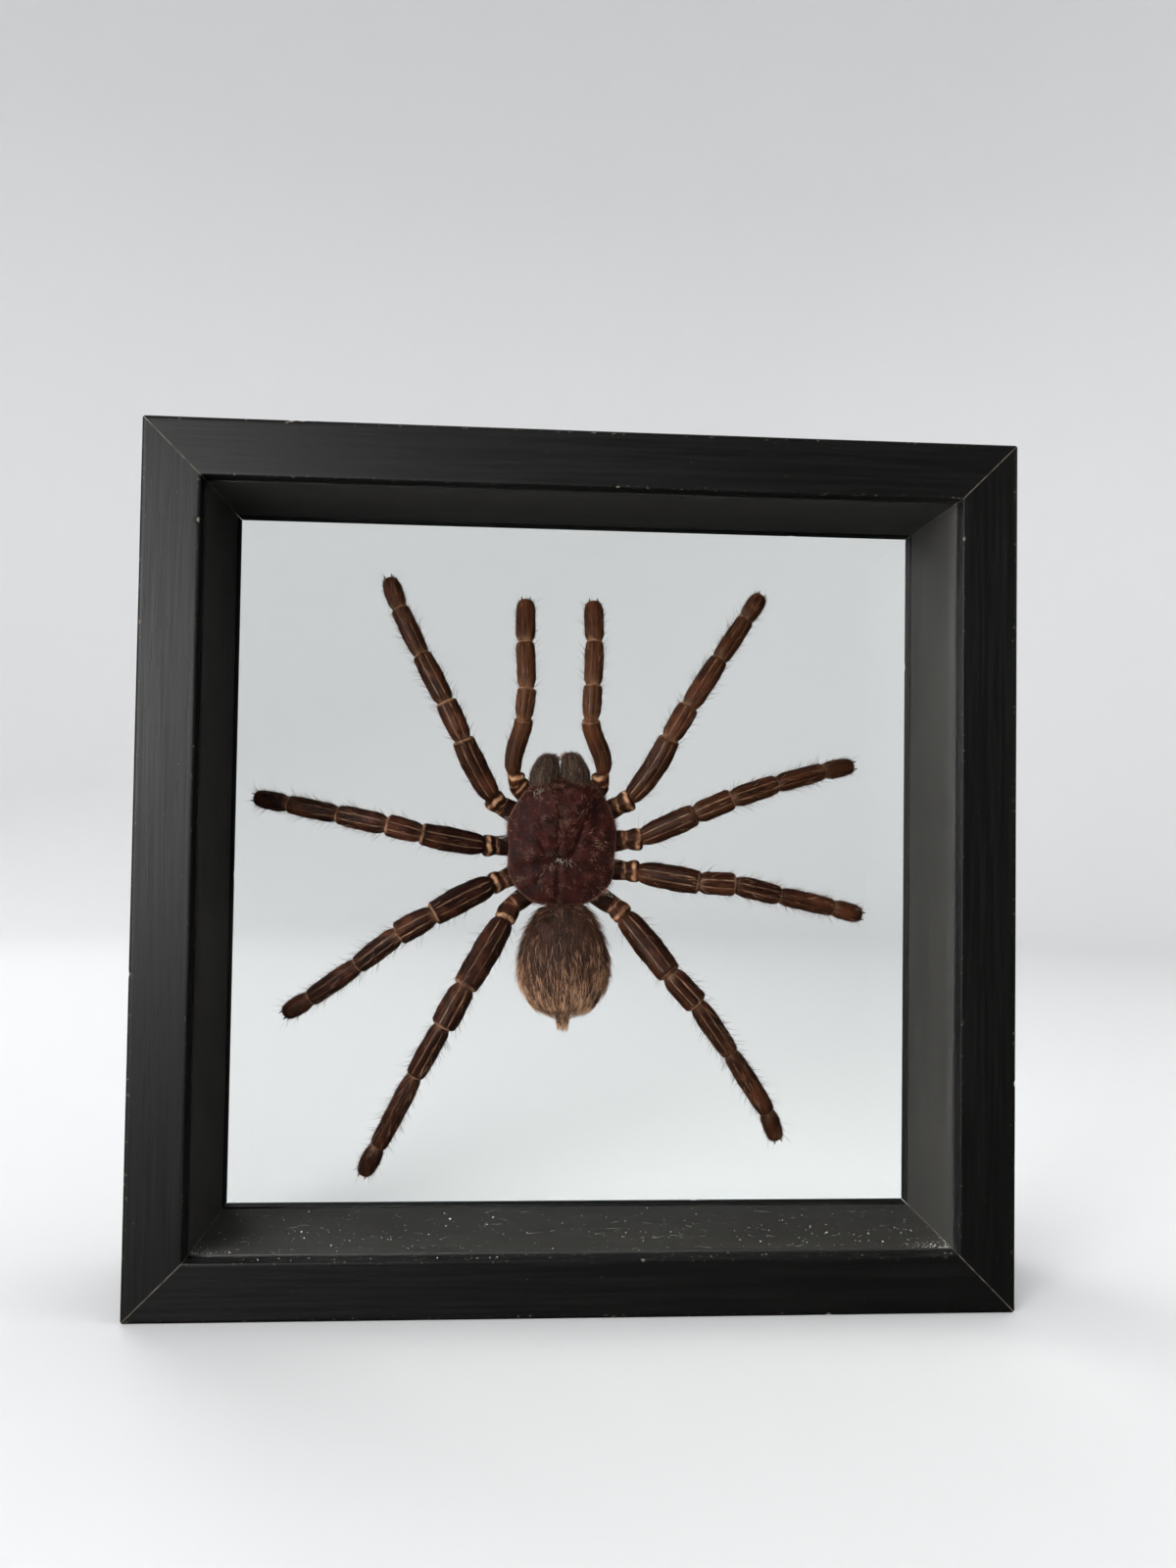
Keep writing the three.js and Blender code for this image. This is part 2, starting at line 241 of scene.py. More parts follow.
def cut_through(bm, place, way, **settings):
    """Cuts the rail along a plane and returns what the cut made."""
    everything = bm.verts[:] + bm.edges[:] + bm.faces[:]
    return bmesh.ops.bisect_plane(bm, geom=everything, plane_co=place, plane_no=way, **settings)["geom_cut"]


def draw_rail(knocks):
    """The bottom rail about the middle of the frame, with how knocked and rubbed each point is, and where its
    inner face between the panes is greyed, partly by dust and partly by a painted reflection of the glass.
    """
    bm = bmesh.new()
    half, near, far, floor = DEPTH / 2, GROOVE_NEAR, GROOVE_FAR, GROOVE_FLOOR
    section = [(0, -half), (RAIL_WIDTH, -half)]
    for front, back in ((-far, -near), (near, far)):
        section += [(RAIL_WIDTH, front), (floor, front), (floor, back), (RAIL_WIDTH, back)]
    section += [(RAIL_WIDTH, half), (0, half)]
    outline = [bm.verts.new((-SIDE / 2, y, inward - SIDE / 2)) for inward, y in section]
    drawn = bmesh.ops.extrude_face_region(bm, geom=[bm.faces.new(outline)])["geom"]
    moved = [part for part in drawn if isinstance(part, bmesh.types.BMVert)]
    bmesh.ops.translate(bm, verts=moved, vec=(SIDE, 0, 0))

    for inward, y, radius, steps in (
        (0, half, OUTER_EDGE, 4), (RAIL_WIDTH, half, SIGHT_EDGE, 3),
        (RAIL_WIDTH, near, GROOVE_EDGE, 2), (RAIL_WIDTH, far, GROOVE_EDGE, 2),
    ):
        on_line = {
            vert for vert in bm.verts
            if abs(abs(vert.co.y) - y) < FINE and abs(vert.co.z + SIDE / 2 - inward) < FINE
        }
        long_edges = [
            edge for edge in bm.edges if edge.calc_length() > SIDE / 2 and on_line.issuperset(edge.verts)
        ]
        bmesh.ops.bevel(
            bm, geom=long_edges, offset=radius, offset_type="OFFSET", segments=steps,
            profile=0.5, affect="EDGES", material=-1,
        )
    long_edges = [edge for edge in bm.edges if edge.calc_length() > SIDE / 2]
    bmesh.ops.subdivide_edges(bm, edges=long_edges, cuts=LENGTH_CUTS, use_grid_fill=True)
    for end in (-1, 1):
        for step in range(1, CORNER_STEPS + 1):
            cut_through(bm, (end * (SIDE / 2 - step * CORNER_ROUND / CORNER_STEPS), 0, 0), (1, 0, 0))
    for place, *_ in knocks:
        for step in KNOCK_CUTS:
            cut_through(bm, (place + step * KNOCK_REACH, 0, 0), (1, 0, 0))
    for inward in (1.5, 2.4, RAIL_WIDTH - 2, RAIL_WIDTH - 1.1):
        cut_through(bm, (0, 0, inward - SIDE / 2), (0, 0, 1))
    for y in (half - 2.4, half - 1.5, 1.5 - half, 2.4 - half):
        cut_through(bm, (0, y, 0), (0, 1, 0))
    for end in (-1, 1):
        corner = (end * (SIDE / 2 - MITRE_GAP), 0, -SIDE / 2)
        sawn = cut_through(bm, corner, (end, 0, 1), clear_outer=True)
        bmesh.ops.holes_fill(bm, edges=[part for part in sawn if isinstance(part, bmesh.types.BMEdge)])

    knocked, rubbed, dust_and_reflection_film = [], [], []
    offset = rng.uniform(0, 90)
    for vert in bm.verts:
        x, y, z = vert.co
        inward = z + SIDE / 2
        at_front_or_back = abs(abs(y) - half) < OUTER_EDGE
        at_edge = inward < OUTER_EDGE or abs(inward - RAIL_WIDTH) < SIGHT_EDGE
        rubbed.append(at_front_or_back and at_edge)
        # The inner face between the panes is marked for a grey that is partly dust and partly a painted
        # reflection of the glass.
        dust_and_reflection_film.append(inward > RAIL_WIDTH - 2 * GROOVE_EDGE and abs(y) < near + GROOVE_EDGE)
        press = 0
        for place, face, is_sight, depth in knocks:
            corner = Vector((place, face * half, -SIDE / 2 + (RAIL_WIDTH if is_sight else 0)))
            reach = (vert.co - corner).length
            if reach < KNOCK_REACH:
                push = depth * (1 - reach / KNOCK_REACH)
                middle = Vector((x, face * (half - 4), -SIDE / 2 + RAIL_WIDTH / 2))
                vert.co += (middle - vert.co).normalized() * push
                press = max(press, push)
        knocked.append(press / DEEP_KNOCK)
        straight = SIDE / 2 - CORNER_ROUND
        past_x, past_z = abs(x) - straight, -z - straight
        if past_x > 0 and past_z > 0:
            squeeze = max(past_x, past_z) / math.hypot(past_x, past_z)
            vert.co.x = math.copysign(straight + past_x * squeeze, x)
            vert.co.z = -(straight + past_z * squeeze)
        if inward < 0.2:
            vert.co.z += UNEVEN * abs(noise.noise((x / 40, y / 30, offset)))
        if abs(y) > half - 0.2:
            vert.co.y *= 1 - UNEVEN / half * abs(noise.noise((x / 40, z / 14, offset + 20 * (y > 0))))
    return bm, {"knock": knocked, "edge": rubbed, "film": dust_and_reflection_film}


wood_along = {way: stained_wood(way) for way in "XZ"}
for quarter_turns, (node, knocks) in enumerate(KNOCKS.items()):
    bm, marks = draw_rail(knocks)
    turn = Matrix.Rotation(quarter_turns * math.pi / 2, 4, "Y")
    place = Matrix.Translation((0, 0, SIDE / 2 * MM)) @ turn @ Matrix.Scale(MM, 4)
    rail = finish_mesh(bm, node + "_moulding", place, 40)
    for name, values in marks.items():
        mark(rail, name, values)
    add_piece(rail, wood_along["XZ"[quarter_turns % 2]], "stained_wood", node)

# ---- The two panes ----
# Squares of clear float glass, cut by hand and slid into the saw cuts before the last rail
# went on. They keep the plain shape of cut glass, and their body is a faint green.
GLASS_TINT, GLASS_SHADE = (0.985, 0.996, 0.991, 1), (0.93, 0.95, 0.94, 1)
pane_glass, shader, place = new_finish(
    "clear float glass", Base_Color=GLASS_TINT, Roughness=0, IOR=1.5, Transmission_Weight=1,
)
to_lamps = add_node(place.id_data, "LightPath").outputs["Is Shadow Ray"]
swap_shader(shader, to_lamps, add_node(place.id_data, "BsdfTransparent", {"Color": GLASS_SHADE}))
for node in ("pane_front", "pane_back"):
    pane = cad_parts[node]
    pane.data.materials.clear()
    pane.data.materials.append(pane_glass)

# ---- Dust ----
# Pale specks and fibres that have settled in the box: on the bottom rail between the panes,
# in the lower corners and on the narrow ledge in front of the glass.
SPECKS_IN_BOX, SPECKS_IN_CORNERS, SPECKS_ON_LEDGE, FIBRES = 420, 160, 90, 90
SMALLEST_SPECK, SPECK_SPREAD, FIBRE_THICKNESS = 0.06, 0.045, 0.06
DUST_PALE, DUST_DARK = (0.72, 0.7, 0.66), (0.4, 0.38, 0.35)
IN_FRAME = Matrix.Scale(MM, 4)


def unit(vectors):
    """The vectors, each made one long."""
    return vectors / np.maximum(np.linalg.norm(vectors, axis=1, keepdims=True), 1e-9)


def hair_mesh(name, roots, ways, lengths, widths, sweep, tones, place, lowest):
    """One closed three-sided spike for each root, bent by sweep but not under lowest."""
    roots, ways, sweep = np.asarray(roots, float), unit(np.asarray(ways, float)), np.asarray(sweep, float)
    lengths, widths = (np.broadcast_to(each, len(roots))[:, None] for each in (lengths, widths))
    side = unit(np.cross(ways, (0.31, 0.57, 0.76)))
    other = np.cross(ways, side)
    points = []
    for share, girth in ((0, 1), (0.5, 0.75)):
        centre = roots + lengths * (ways * share + sweep * share**2)
        for turn in (0, math.tau / 3, 2 * math.tau / 3):
            points.append(centre + (side * math.cos(turn) + other * math.sin(turn)) * widths / 2 * girth)
    points.append(roots + lengths * (ways + sweep))
    points = np.stack(points, axis=1)
    points[..., 2] = np.maximum(points[..., 2], lowest)
    spike = [(0, 2, 1)]
    for corner in range(3):
        after = (corner + 1) % 3
        spike += [(corner, after, after + 3), (corner, after + 3, corner + 3), (corner + 3, after + 3, 6)]
    faces = np.array(spike)[None] + 7 * np.arange(len(roots))[:, None, None]
    mesh = bpy.data.meshes.new(name)
    mesh.from_pydata(points.reshape(-1, 3).tolist(), [], faces.reshape(-1, 3).tolist())
    mesh.transform(place)
    mesh.shade_smooth()
    mark(mesh, "tone", np.repeat(np.broadcast_to(tones, len(roots)), 7))
    mark(mesh, "tip", np.tile((0, 0, 0, 0.5, 0.5, 0.5, 1), len(roots)))
    return mesh


dust, shader, place = new_finish("settled dust", Roughness=0.95)
put(shader.inputs, "Base Color", blend(fade(mottle(place, 500, 1), 0.35, 0.65), DUST_DARK, DUST_PALE))
inner = SIDE / 2 - RAIL_WIDTH
lying = [
    (rng.uniform(-inner, inner, SPECKS_IN_BOX), rng.uniform(-GROOVE_NEAR, GROOVE_NEAR, SPECKS_IN_BOX)),
    (
        rng.choice((-1, 1), SPECKS_IN_CORNERS, p=(0.3, 0.7))
        * (inner - rng.exponential(4, SPECKS_IN_CORNERS).clip(0.2, 40)),
        -GROOVE_NEAR + rng.exponential(2.5, SPECKS_IN_CORNERS).clip(0.2, 20),
    ),
    (
        rng.uniform(-inner, inner, SPECKS_ON_LEDGE),
        rng.uniform(-DEPTH / 2 + 0.8, -GROOVE_FAR - 0.4, SPECKS_ON_LEDGE),
    ),
]
bm = bmesh.new()
for across, back in np.hstack(lying).T:
    size = SMALLEST_SPECK + rng.exponential(SPECK_SPREAD)
    squash = Matrix.Diagonal((size * rng.uniform(0.7, 1.6), size, size * 0.6, 1))
    lie = Matrix.Translation((across, back, RAIL_WIDTH + size * 0.4))
    turn = Matrix.Rotation(rng.uniform(0, 6), 4, "Z")
    bmesh.ops.create_icosphere(bm, subdivisions=1, radius=1, matrix=lie @ turn @ squash)
add_piece(finish_mesh(bm, "dust_specks", IN_FRAME), dust, "dust")

roots = np.column_stack((
    rng.uniform(-inner, inner - 6, FIBRES), rng.uniform(-GROOVE_NEAR, GROOVE_NEAR - 4, FIBRES),
    np.full(FIBRES, RAIL_WIDTH + 2 * FIBRE_THICKNESS),
))
ways = np.column_stack((rng.normal(0, 1, FIBRES), rng.normal(0, 0.5, FIBRES), rng.uniform(0, 0.1, FIBRES)))
bend = np.column_stack((rng.normal(0, 0.4, FIBRES), rng.normal(0, 0.4, FIBRES), np.full(FIBRES, -0.03)))
fibres = hair_mesh(
    "dust_fibres", roots, ways, rng.uniform(0.8, 3.6, FIBRES), FIBRE_THICKNESS, bend, 0.5,
    IN_FRAME, RAIL_WIDTH,
)
add_piece(fibres, dust, "dust")

# ---- The glue pad ----
# One blob of clear glue under the sternum is all that holds the spider. It was pressed flat
# against the rear pane while soft, so it has a round foot, a hollow waist and a few bubbles.
SPIDER_ACROSS, SPIDER_UP = -5, SIDE / 2 + 3
PAD_RADIUS, PAD_ALONG, PAD_FOOT, PAD_TOP = 4.9, 0.5, 0.03, 2.6
# Spider measures are (across, along the body towards the head, off the rear pane).
ON_PANE = (
    Matrix.Translation((SPIDER_ACROSS * MM, PANE_LOW.y, SPIDER_UP * MM))
    @ Matrix.Rotation(math.pi / 2, 4, "X") @ Matrix.Scale(MM, 4)
)


def hump(offset, width, power=2):
    """1 where offset is 0, falling away to 0 beyond width."""
    return np.exp(-((offset / width) ** power))


def add_ball(bm, around, along, shape):
    """Adds a closed ball and moves each point to shape(share from pole to pole, angle)."""
    ball = bmesh.ops.create_uvsphere(bm, u_segments=around, v_segments=along, radius=1)["verts"]
    bare = np.array([vert.co for vert in ball])
    share = np.arccos(np.clip(bare[:, 2], -1, 1)) / math.pi
    angle = np.arctan2(bare[:, 1], bare[:, 0])
    for vert, place in zip(ball, shape(share, angle)):
        vert.co = place
    return ball, share, angle


def add_round(name, around, along, shape, material, slot, *nodes):
    """A piece of the spider made of one ball, with where each point was on the ball."""
    bm = bmesh.new()
    _, share, angle = add_ball(bm, around, along, shape)
    return add_piece(finish_mesh(bm, name, ON_PANE), material, slot, *nodes), share, angle


def pad_shape(share, angle):
    """The pad from the spider down to the glass: a narrow waist and a wide foot."""
    height = (1 + np.cos(share * math.pi)) / 2
    waist = 1 - 0.2 * np.sin(math.pi * height) - 0.12 * height
    girth = PAD_RADIUS * waist * (1 - np.abs(2 * height - 1) ** 9) ** (1 / 9)
    girth = girth * (1 + 0.05 * np.sin(3 * angle + 1) + 0.03 * np.sin(5 * angle))
    along, off = PAD_ALONG + girth * np.sin(angle), PAD_FOOT + height * PAD_TOP
    return np.column_stack((girth * np.cos(angle), along, off))


glue, shader, place = new_finish(
    "clear set glue", Roughness=0.15, IOR=1.48, Transmission_Weight=0.9, Specular_IOR_Level=0.4,
)
bubbles = add_node(place.id_data, "TexVoronoi", {"Vector": place, "Scale": 1100}).outputs["Distance"]
put(shader.inputs, "Base Color", blend(mottle(place, 240), (0.8, 0.62, 0.36), (0.93, 0.84, 0.64)))
raise_surface(shader, fade(bubbles, 0.1, 0.3), 0.00015)
add_round("glue_pad_blob", 48, 24, pad_shape, glue, "clear_glue", "glue_pad")

# ---- The carapace ----
# The hard shield over the front half of the body: a low dome with a raised head part, a pit
# in its middle, grooves that run out from it to each leg, and a flattened rim. Dark mahogany,
# with shade painted darker into the pit and grooves, and short tan hairs that lie outwards from the pit.
HALF_WIDTH, HALF_LENGTH, BODY_ALONG = 16.9, 19.8, 3.9
RIM_OFF, DOME, HEAD = 8.8, 3.7, 2.1
BLUNT, ARCH = 3.1, (2.7, 0.62)
PIT_ACROSS, PIT_ALONG, PIT_DEPTH = -0.9, -1.8, 1.5
GROOVE_WAYS = [math.radians(way) for way in (24, -10, -44, 204, 190, 224)]
GROOVE_DEPTH, NECK_DEPTH, CREASE_DEPTH, LIP_HEIGHT = 0.65, 0.9, 0.8, 0.25
MAHOGANY_DARK, MAHOGANY, TAN = (0.006, 0.0012, 0.0011), (0.032, 0.0054, 0.0042), (0.19, 0.088, 0.062)


def step_up(value, start, end):
    """A smooth step from 0 to 1."""
    share = np.clip((value - start) / (end - start), 0, 1)
    return share * share * (3 - 2 * share)


def body_outline(angle):
    """How far the carapace's rim is from its middle, across and along, at an angle."""
    blunt = (np.abs(np.cos(angle)) ** BLUNT + np.abs(np.sin(angle)) ** BLUNT) ** (-1 / BLUNT)
    across, along = blunt * np.cos(angle), blunt * np.sin(angle)
    across = across * (1 - 0.2 * step_up(along, 0.3, 1.1)) * (1 - 0.06 * step_up(-along, 0.4, 1.1))
    across = across * (1 + 0.018 * np.sin(9 * angle + 0.6))
    return across * HALF_WIDTH, along * HALF_LENGTH


def dome_height(across, along, reach):
    """How far the carapace stands off the pane, reach being 1 at its rim."""
    ahead, from_pit = along - PIT_ALONG, across - PIT_ACROSS
    beside = np.abs(across - PIT_ACROSS * (1 - step_up(along, 0, 16)))
    head_width = 3.6 + 0.34 * np.maximum(ahead, 0)
    plateau = hump(beside, head_width, 4)
    arch = (1 - np.minimum(reach, 1) ** (ARCH[0] + 7 * plateau * step_up(ahead, 6, 18))) ** ARCH[1]
    height = RIM_OFF + DOME * arch + HEAD * step_up(ahead, 1, 11) * plateau * arch**0.7
    neck = hump(beside - head_width, 0.9) * step_up(ahead, 0.5, 3) * step_up(-ahead, -17, -9)
    height = height - NECK_DEPTH * neck * arch
    inside = 1 - step_up(reach, 0.8, 1)
    crease = hump(from_pit - 0.3 * step_up(along, 2, 18), 1.0) * step_up(-ahead, -18, -13)
    height = height - CREASE_DEPTH * crease * inside
    for way in GROOVE_WAYS:
        out = from_pit * math.cos(way) + ahead * math.sin(way)
        aside = -from_pit * math.sin(way) + ahead * math.cos(way)
        groove = hump(aside, 1.2 + 0.06 * np.maximum(out, 0)) * step_up(out, 0.8, 3.5)
        height = height - GROOVE_DEPTH * groove * inside
    return height - PIT_DEPTH * hump(from_pit, 2.1) * hump(ahead + 0.07 * from_pit**2, 0.85)


def carapace_shape(share, angle):
    """The shield: its dome over, and a shallow hollow under, one rim."""
    reach = np.sin(share * math.pi)
    across, along = body_outline(angle)
    across, along = across * reach, BODY_ALONG + along * reach
    ragged = [
        0.4 * noise.noise((a / 3.4, b / 3.4, 5)) + 0.16 * noise.noise((a, b, 9))
        for a, b in zip(across, along)
    ]
    over = dome_height(across, along, reach) + np.array(ragged) * (1 - reach**6)
    under = RIM_OFF - 0.5 * (1 - reach**8)
    lip = LIP_HEIGHT * step_up(reach, 0.94, 0.985) * (1 - step_up(reach, 0.99, 1))
    return np.column_stack((across, along, np.where(share < 0.5, over + lip, under)))


def body_top(across, along):
    """How far the top of the carapace is off the pane at a place."""
    return shield.ray_cast(Vector((across, along, 50)), Vector((0, 0, -1)))[0].z


carapace_skin, shader, place = new_finish("mahogany carapace", Specular_IOR_Level=0.06)
patches, grain = mottle(place, 260, 6, 0.6), mottle(place, 2200, 3)
bloom = times(fade(mottle(place, 330, 7, 0.75), 0.5, 0.72, 0, 0.5), fade(grain, 0.35, 0.6))
colour = blend(bloom, blend(fade(patches, 0.3, 0.7), MAHOGANY_DARK, MAHOGANY), TAN)
# Painted shade: the colour goes darker where the shield sinks below a plain dome, in the pit, the grooves,
# the neck and the crease.
colour = blend(times(marked(place, "hollow"), 0.8), colour, MAHOGANY_DARK)
put(shader.inputs, "Base Color", blend(times(marked(place, "rim"), 0.45), colour, TAN))
put(shader.inputs, "Roughness", fade(patches, 0.3, 0.7, 0.42, 0.62))
raise_surface(shader, sums("ADD", patches, times(grain, 0.4)), 0.0003)
bm = bmesh.new()
_, share, angle = add_ball(bm, 160, 96, carapace_shape)
heights = np.array([vert.co.z for vert in bm.verts])
reach = np.sin(share * math.pi)
plain_dome = RIM_OFF + DOME * (1 - reach ** ARCH[0]) ** ARCH[1]
shield = BVHTree.FromBMesh(bm)
carapace = finish_mesh(bm, "carapace", ON_PANE)
# How far each point sinks below a plain dome, kept to paint shade into the pit and grooves.
mark(carapace, "hollow", np.clip((plain_dome - heights) / 1.6, 0, 1) * (share < 0.5))
mark(carapace, "rim", step_up(reach, 0.955, 0.99))
add_piece(carapace, carapace_skin, "carapace", "cephalothorax")

# ---- Under the body ----
# The sternum is a flat shield between the legs, with the lip in front of it; the pedicel is
# the thin stalk behind. All are the same dark skin as the carapace.
STERNUM = (0, 0.6, 4.6, 7.0, 9.4, 2.4)
LIP = (-0.6, 11.6, 4.4, 2.6, 2.1, 1.9)
PEDICEL = (0.2, -15.8, 8.4, 2.5, 3.4, 2.0)


def egg_shape(across, along, off, half_width, half_length, half_height, blunt=2.3, narrow=0.0, wrinkle=0.0):
    """A blunt egg that lies along the body, its narrow end forwards."""
    def shape(share, angle):
        place = np.cos(share * math.pi)
        girth = (1 - np.abs(place) ** blunt) ** (1 / blunt) * (1 - narrow * place)
        rough = 1 + wrinkle * (np.sin(5 * angle + 7 * place) + np.sin(9 * angle - 5 * place + 2) * 0.6)
        return np.column_stack((
            across + half_width * girth * np.cos(angle) * rough,
            along + half_length * place,
            off + half_height * girth * np.sin(angle) * rough,
        ))
    return shape


bm = bmesh.new()
add_ball(bm, 64, 40, egg_shape(*STERNUM, blunt=2.6, narrow=-0.12, wrinkle=0.012))
add_ball(bm, 32, 20, egg_shape(*LIP))
add_ball(bm, 32, 20, egg_shape(*PEDICEL, wrinkle=0.03))
add_piece(finish_mesh(bm, "sternum_and_pedicel", ON_PANE), carapace_skin, "carapace")

# ---- The hair of the carapace ----
# Short tan hairs lie flat and outwards over the whole shield, thicker along the rim, and a
# little white fluff has stayed in the pit and between the legs.
BODY_HAIRS, SEAM_HAIRS, FLUFF = 11000, 1000, 300
HAIR_LOWEST, ROOT_DEPTH = 0.06, 0.1
HAIR_THIN, HAIR_THICK = 0.05, 0.085
HAIR_DROOP = (0, 0, -0.12)
FLUFF_SPOTS = [  # across, along, off, spread
    (-17.6, 5.2, 8.4, 0.9), (-17.6, -2.9, 8.4, 1.0), (-15.4, -11.4, 8.2, 0.9), (17.4, -1.2, 8.4, 0.8),
    (14, -12.4, 8.2, 0.9), (-17, 10.4, 8.2, 0.7), (17, 10, 8.2, 0.7), (-7, 19.2, body_top(-7, 19.2), 1.3),
]
PIT_FLUFF_STEPS, PIT_FLUFF_SPREAD = (-0.6, 0.9, 2.4), 1.1


def hair_finish(name, dark, middle, light, tip_share=0.3):
    """Hair from dark to light by the tone of each hair, paler towards its tip."""
    material, shader, place = new_finish(name, Roughness=0.6, Specular_IOR_Level=0.01)
    tone = marked(place, "tone")
    colour = blend(fade(tone, 0.5, 1), blend(fade(tone, 0, 0.55), dark, middle), light)
    put(shader.inputs, "Base Color", blend(times(marked(place, "tip"), tip_share), colour, light))
    return material


def scattered(count):
    """Small random steps in every direction."""
    return rng.normal(0, 1, (count, 3))


def any_angles(count):
    """Random angles all the way round."""
    return rng.uniform(-math.pi, math.pi, count)


def add_hair(name, finish, slot, roots, ways, lengths, widths, sweep, tones):
    """A piece of hair on the spider, which stays off the rear pane."""
    hair = hair_mesh(name, roots, ways, lengths, widths, sweep, np.clip(tones, 0, 1), ON_PANE, HAIR_LOWEST)
    add_piece(hair, finish, slot)


tan_hair = hair_finish(
    "tan body hair", (0.007, 0.0014, 0.0011), (0.035, 0.0078, 0.0052), (0.44, 0.25, 0.17), 0.1,
)
share = np.arcsin(np.sqrt(rng.uniform(0, 1, BODY_HAIRS) ** 0.85)) / math.pi
angle = any_angles(BODY_HAIRS)
roots = carapace_shape(share, angle)
further, nearer = np.minimum(share + 0.012, 0.5), np.maximum(share - 0.012, 0)
outwards = unit(carapace_shape(further, angle) - carapace_shape(nearer, angle))
drift = np.array([noise.noise_vector(Vector(root) / 3.5) for root in roots])
ways = outwards + 0.7 * drift * (1, 1, 0) + (0, 0, 0.32) + 0.22 * scattered(BODY_HAIRS)
lengths = rng.uniform(0.7, 1.6, BODY_HAIRS) + 0.8 * (np.sin(share * math.pi) > 0.93)
patchy = np.array([noise.noise(Vector(root) / 2.2) + 0.6 * noise.noise(Vector(root) / 5) for root in roots])
add_hair(
    "carapace_hair", tan_hair, "hair", roots - (0, 0, ROOT_DEPTH), ways, lengths,
    rng.uniform(HAIR_THIN, HAIR_THICK, BODY_HAIRS), HAIR_DROOP,
    0.72 * rng.beta(1.4, 3, BODY_HAIRS) + 0.8 * patchy,
)

along = rng.uniform(0.5, 21.5, SEAM_HAIRS)
across = PIT_ACROSS + rng.normal(-0.3, 0.9, SEAM_HAIRS)
across -= 1.6 * step_up(along, 9, 18) * rng.uniform(0, 1.6, SEAM_HAIRS)
add_hair(
    "seam_hair", tan_hair, "hair", [(a, b, body_top(a, b) - ROOT_DEPTH) for a, b in zip(across, along)],
    scattered(SEAM_HAIRS) * 0.35 + (-0.2, 1, 0.45), rng.uniform(0.7, 1.5, SEAM_HAIRS), 0.07, HAIR_DROOP,
    rng.uniform(0.3, 0.85, SEAM_HAIRS),
)

white_fluff = hair_finish("white fluff", (0.3, 0.24, 0.19), (0.5, 0.44, 0.38), (0.76, 0.71, 0.65))
in_pit = [
    (across, PIT_ALONG + 0.1 - 0.2 * step, body_top(across, PIT_ALONG - 0.3), PIT_FLUFF_SPREAD)
    for step, across in ((step, PIT_ACROSS + step) for step in PIT_FLUFF_STEPS)
]
spots = np.array(in_pit + FLUFF_SPOTS)
spots = spots[rng.integers(0, len(spots), FLUFF)]
roots = spots[:, :3] + scattered(FLUFF) * spots[:, 3:] * (0.8, 0.45, 0.2)
add_hair(
    "white_fluff", white_fluff, "hair", roots, scattered(FLUFF) + (0, 0, 0.7),
    rng.uniform(0.6, 1.7, FLUFF), 0.08, scattered(FLUFF) * 0.3, rng.uniform(0, 1, FLUFF),
)

# ---- The eyes ----
# Eight small glassy eyes sit close together on a mound at the front of the head, two round
# ones looking forwards and three oval ones down each side.
MOUND_ACROSS, MOUND_ALONG, MOUND_HALF = -1.8, 19.4, (2.0, 1.35, 1.5)
MOUND_OFF = body_top(MOUND_ACROSS, MOUND_ALONG) - 0.3
# Across, along and radius of the four eyes on one side.
EYES = [(0.55, 0.75, 0.42), (1.35, 0.75, 0.3), (1.45, -0.05, 0.3), (0.95, -0.45, 0.24)]
eye_glass, shader, place = new_finish(
    "wet black eye", Roughness=0.06, Specular_IOR_Level=0.6, Coat_Weight=0.6, Coat_Roughness=0.05,
)
put(shader.inputs, "Base Color", blend(mottle(place, 1500), (0.004, 0.003, 0.003), (0.03, 0.018, 0.01)))
mound = egg_shape(MOUND_ACROSS, MOUND_ALONG, MOUND_OFF, *MOUND_HALF, blunt=2.2, wrinkle=0.02)
add_round("eye_mound", 40, 24, mound, carapace_skin, "carapace")
bm = bmesh.new()
for hand in (-1, 1):
    for across, along, radius in EYES:
        from_top = (across / MOUND_HALF[0]) ** 2 + (along / MOUND_HALF[1]) ** 2
        off = MOUND_OFF + MOUND_HALF[2] * math.sqrt(max(1 - from_top, 0.05))
        eye = (MOUND_ACROSS + hand * across, MOUND_ALONG + along, off, radius, radius, radius * 0.8)
        add_ball(bm, 16, 12, egg_shape(*eye, blunt=2))
add_piece(finish_mesh(bm, "eyes", ON_PANE), eye_glass, "fang_cuticle")

# ---- The jaws ----
# Two stout chelicerae side by side in front of the head, in grey-brown velvet with fine
# lines of longer hair, and a red-brown fringe round the front end where each fang hinges.
JAW_MIDLINE, JAW_APART, JAW_ALONG, JAW_OFF = -0.8, 4.7, 22.9, 7.9
JAW_HALF, JAW_LEAN, JAW_DROOP = (4.75, 8.6, 4.9), 1.0, 1.2
JAW_BLUNT, JAW_UNEVEN = 2.2, 0.3
JAW_HAIRS, FRINGE_HAIRS = 4200, 900
HANDS = ((-1, "left"), (1, "right"))


def jaw_shape(hand):
    """One jaw: blunt in front, flatter on its inner side, its front end bent down."""
    def shape(share, angle):
        ahead = np.cos(share * math.pi)
        girth = (1 - np.abs(ahead) ** JAW_BLUNT) ** (1 / JAW_BLUNT)
        out = np.cos(angle) * np.where(np.cos(angle) * hand < 0, 0.98, 1)
        ridges = 1 + 0.012 * np.sin(11 * angle) + 0.008 * np.sin(17 * angle + 3 * ahead)
        middle = JAW_MIDLINE + hand * (JAW_APART - JAW_LEAN * step_up(ahead, 0.2, 1))
        return np.column_stack((
            middle + JAW_HALF[0] * girth * out * ridges,
            JAW_ALONG + (JAW_HALF[1] + JAW_UNEVEN * hand) * ahead,
            JAW_OFF - JAW_DROOP * step_up(ahead, 0.1, 1) + JAW_HALF[2] * girth * np.sin(angle) * ridges,
        ))
    return shape


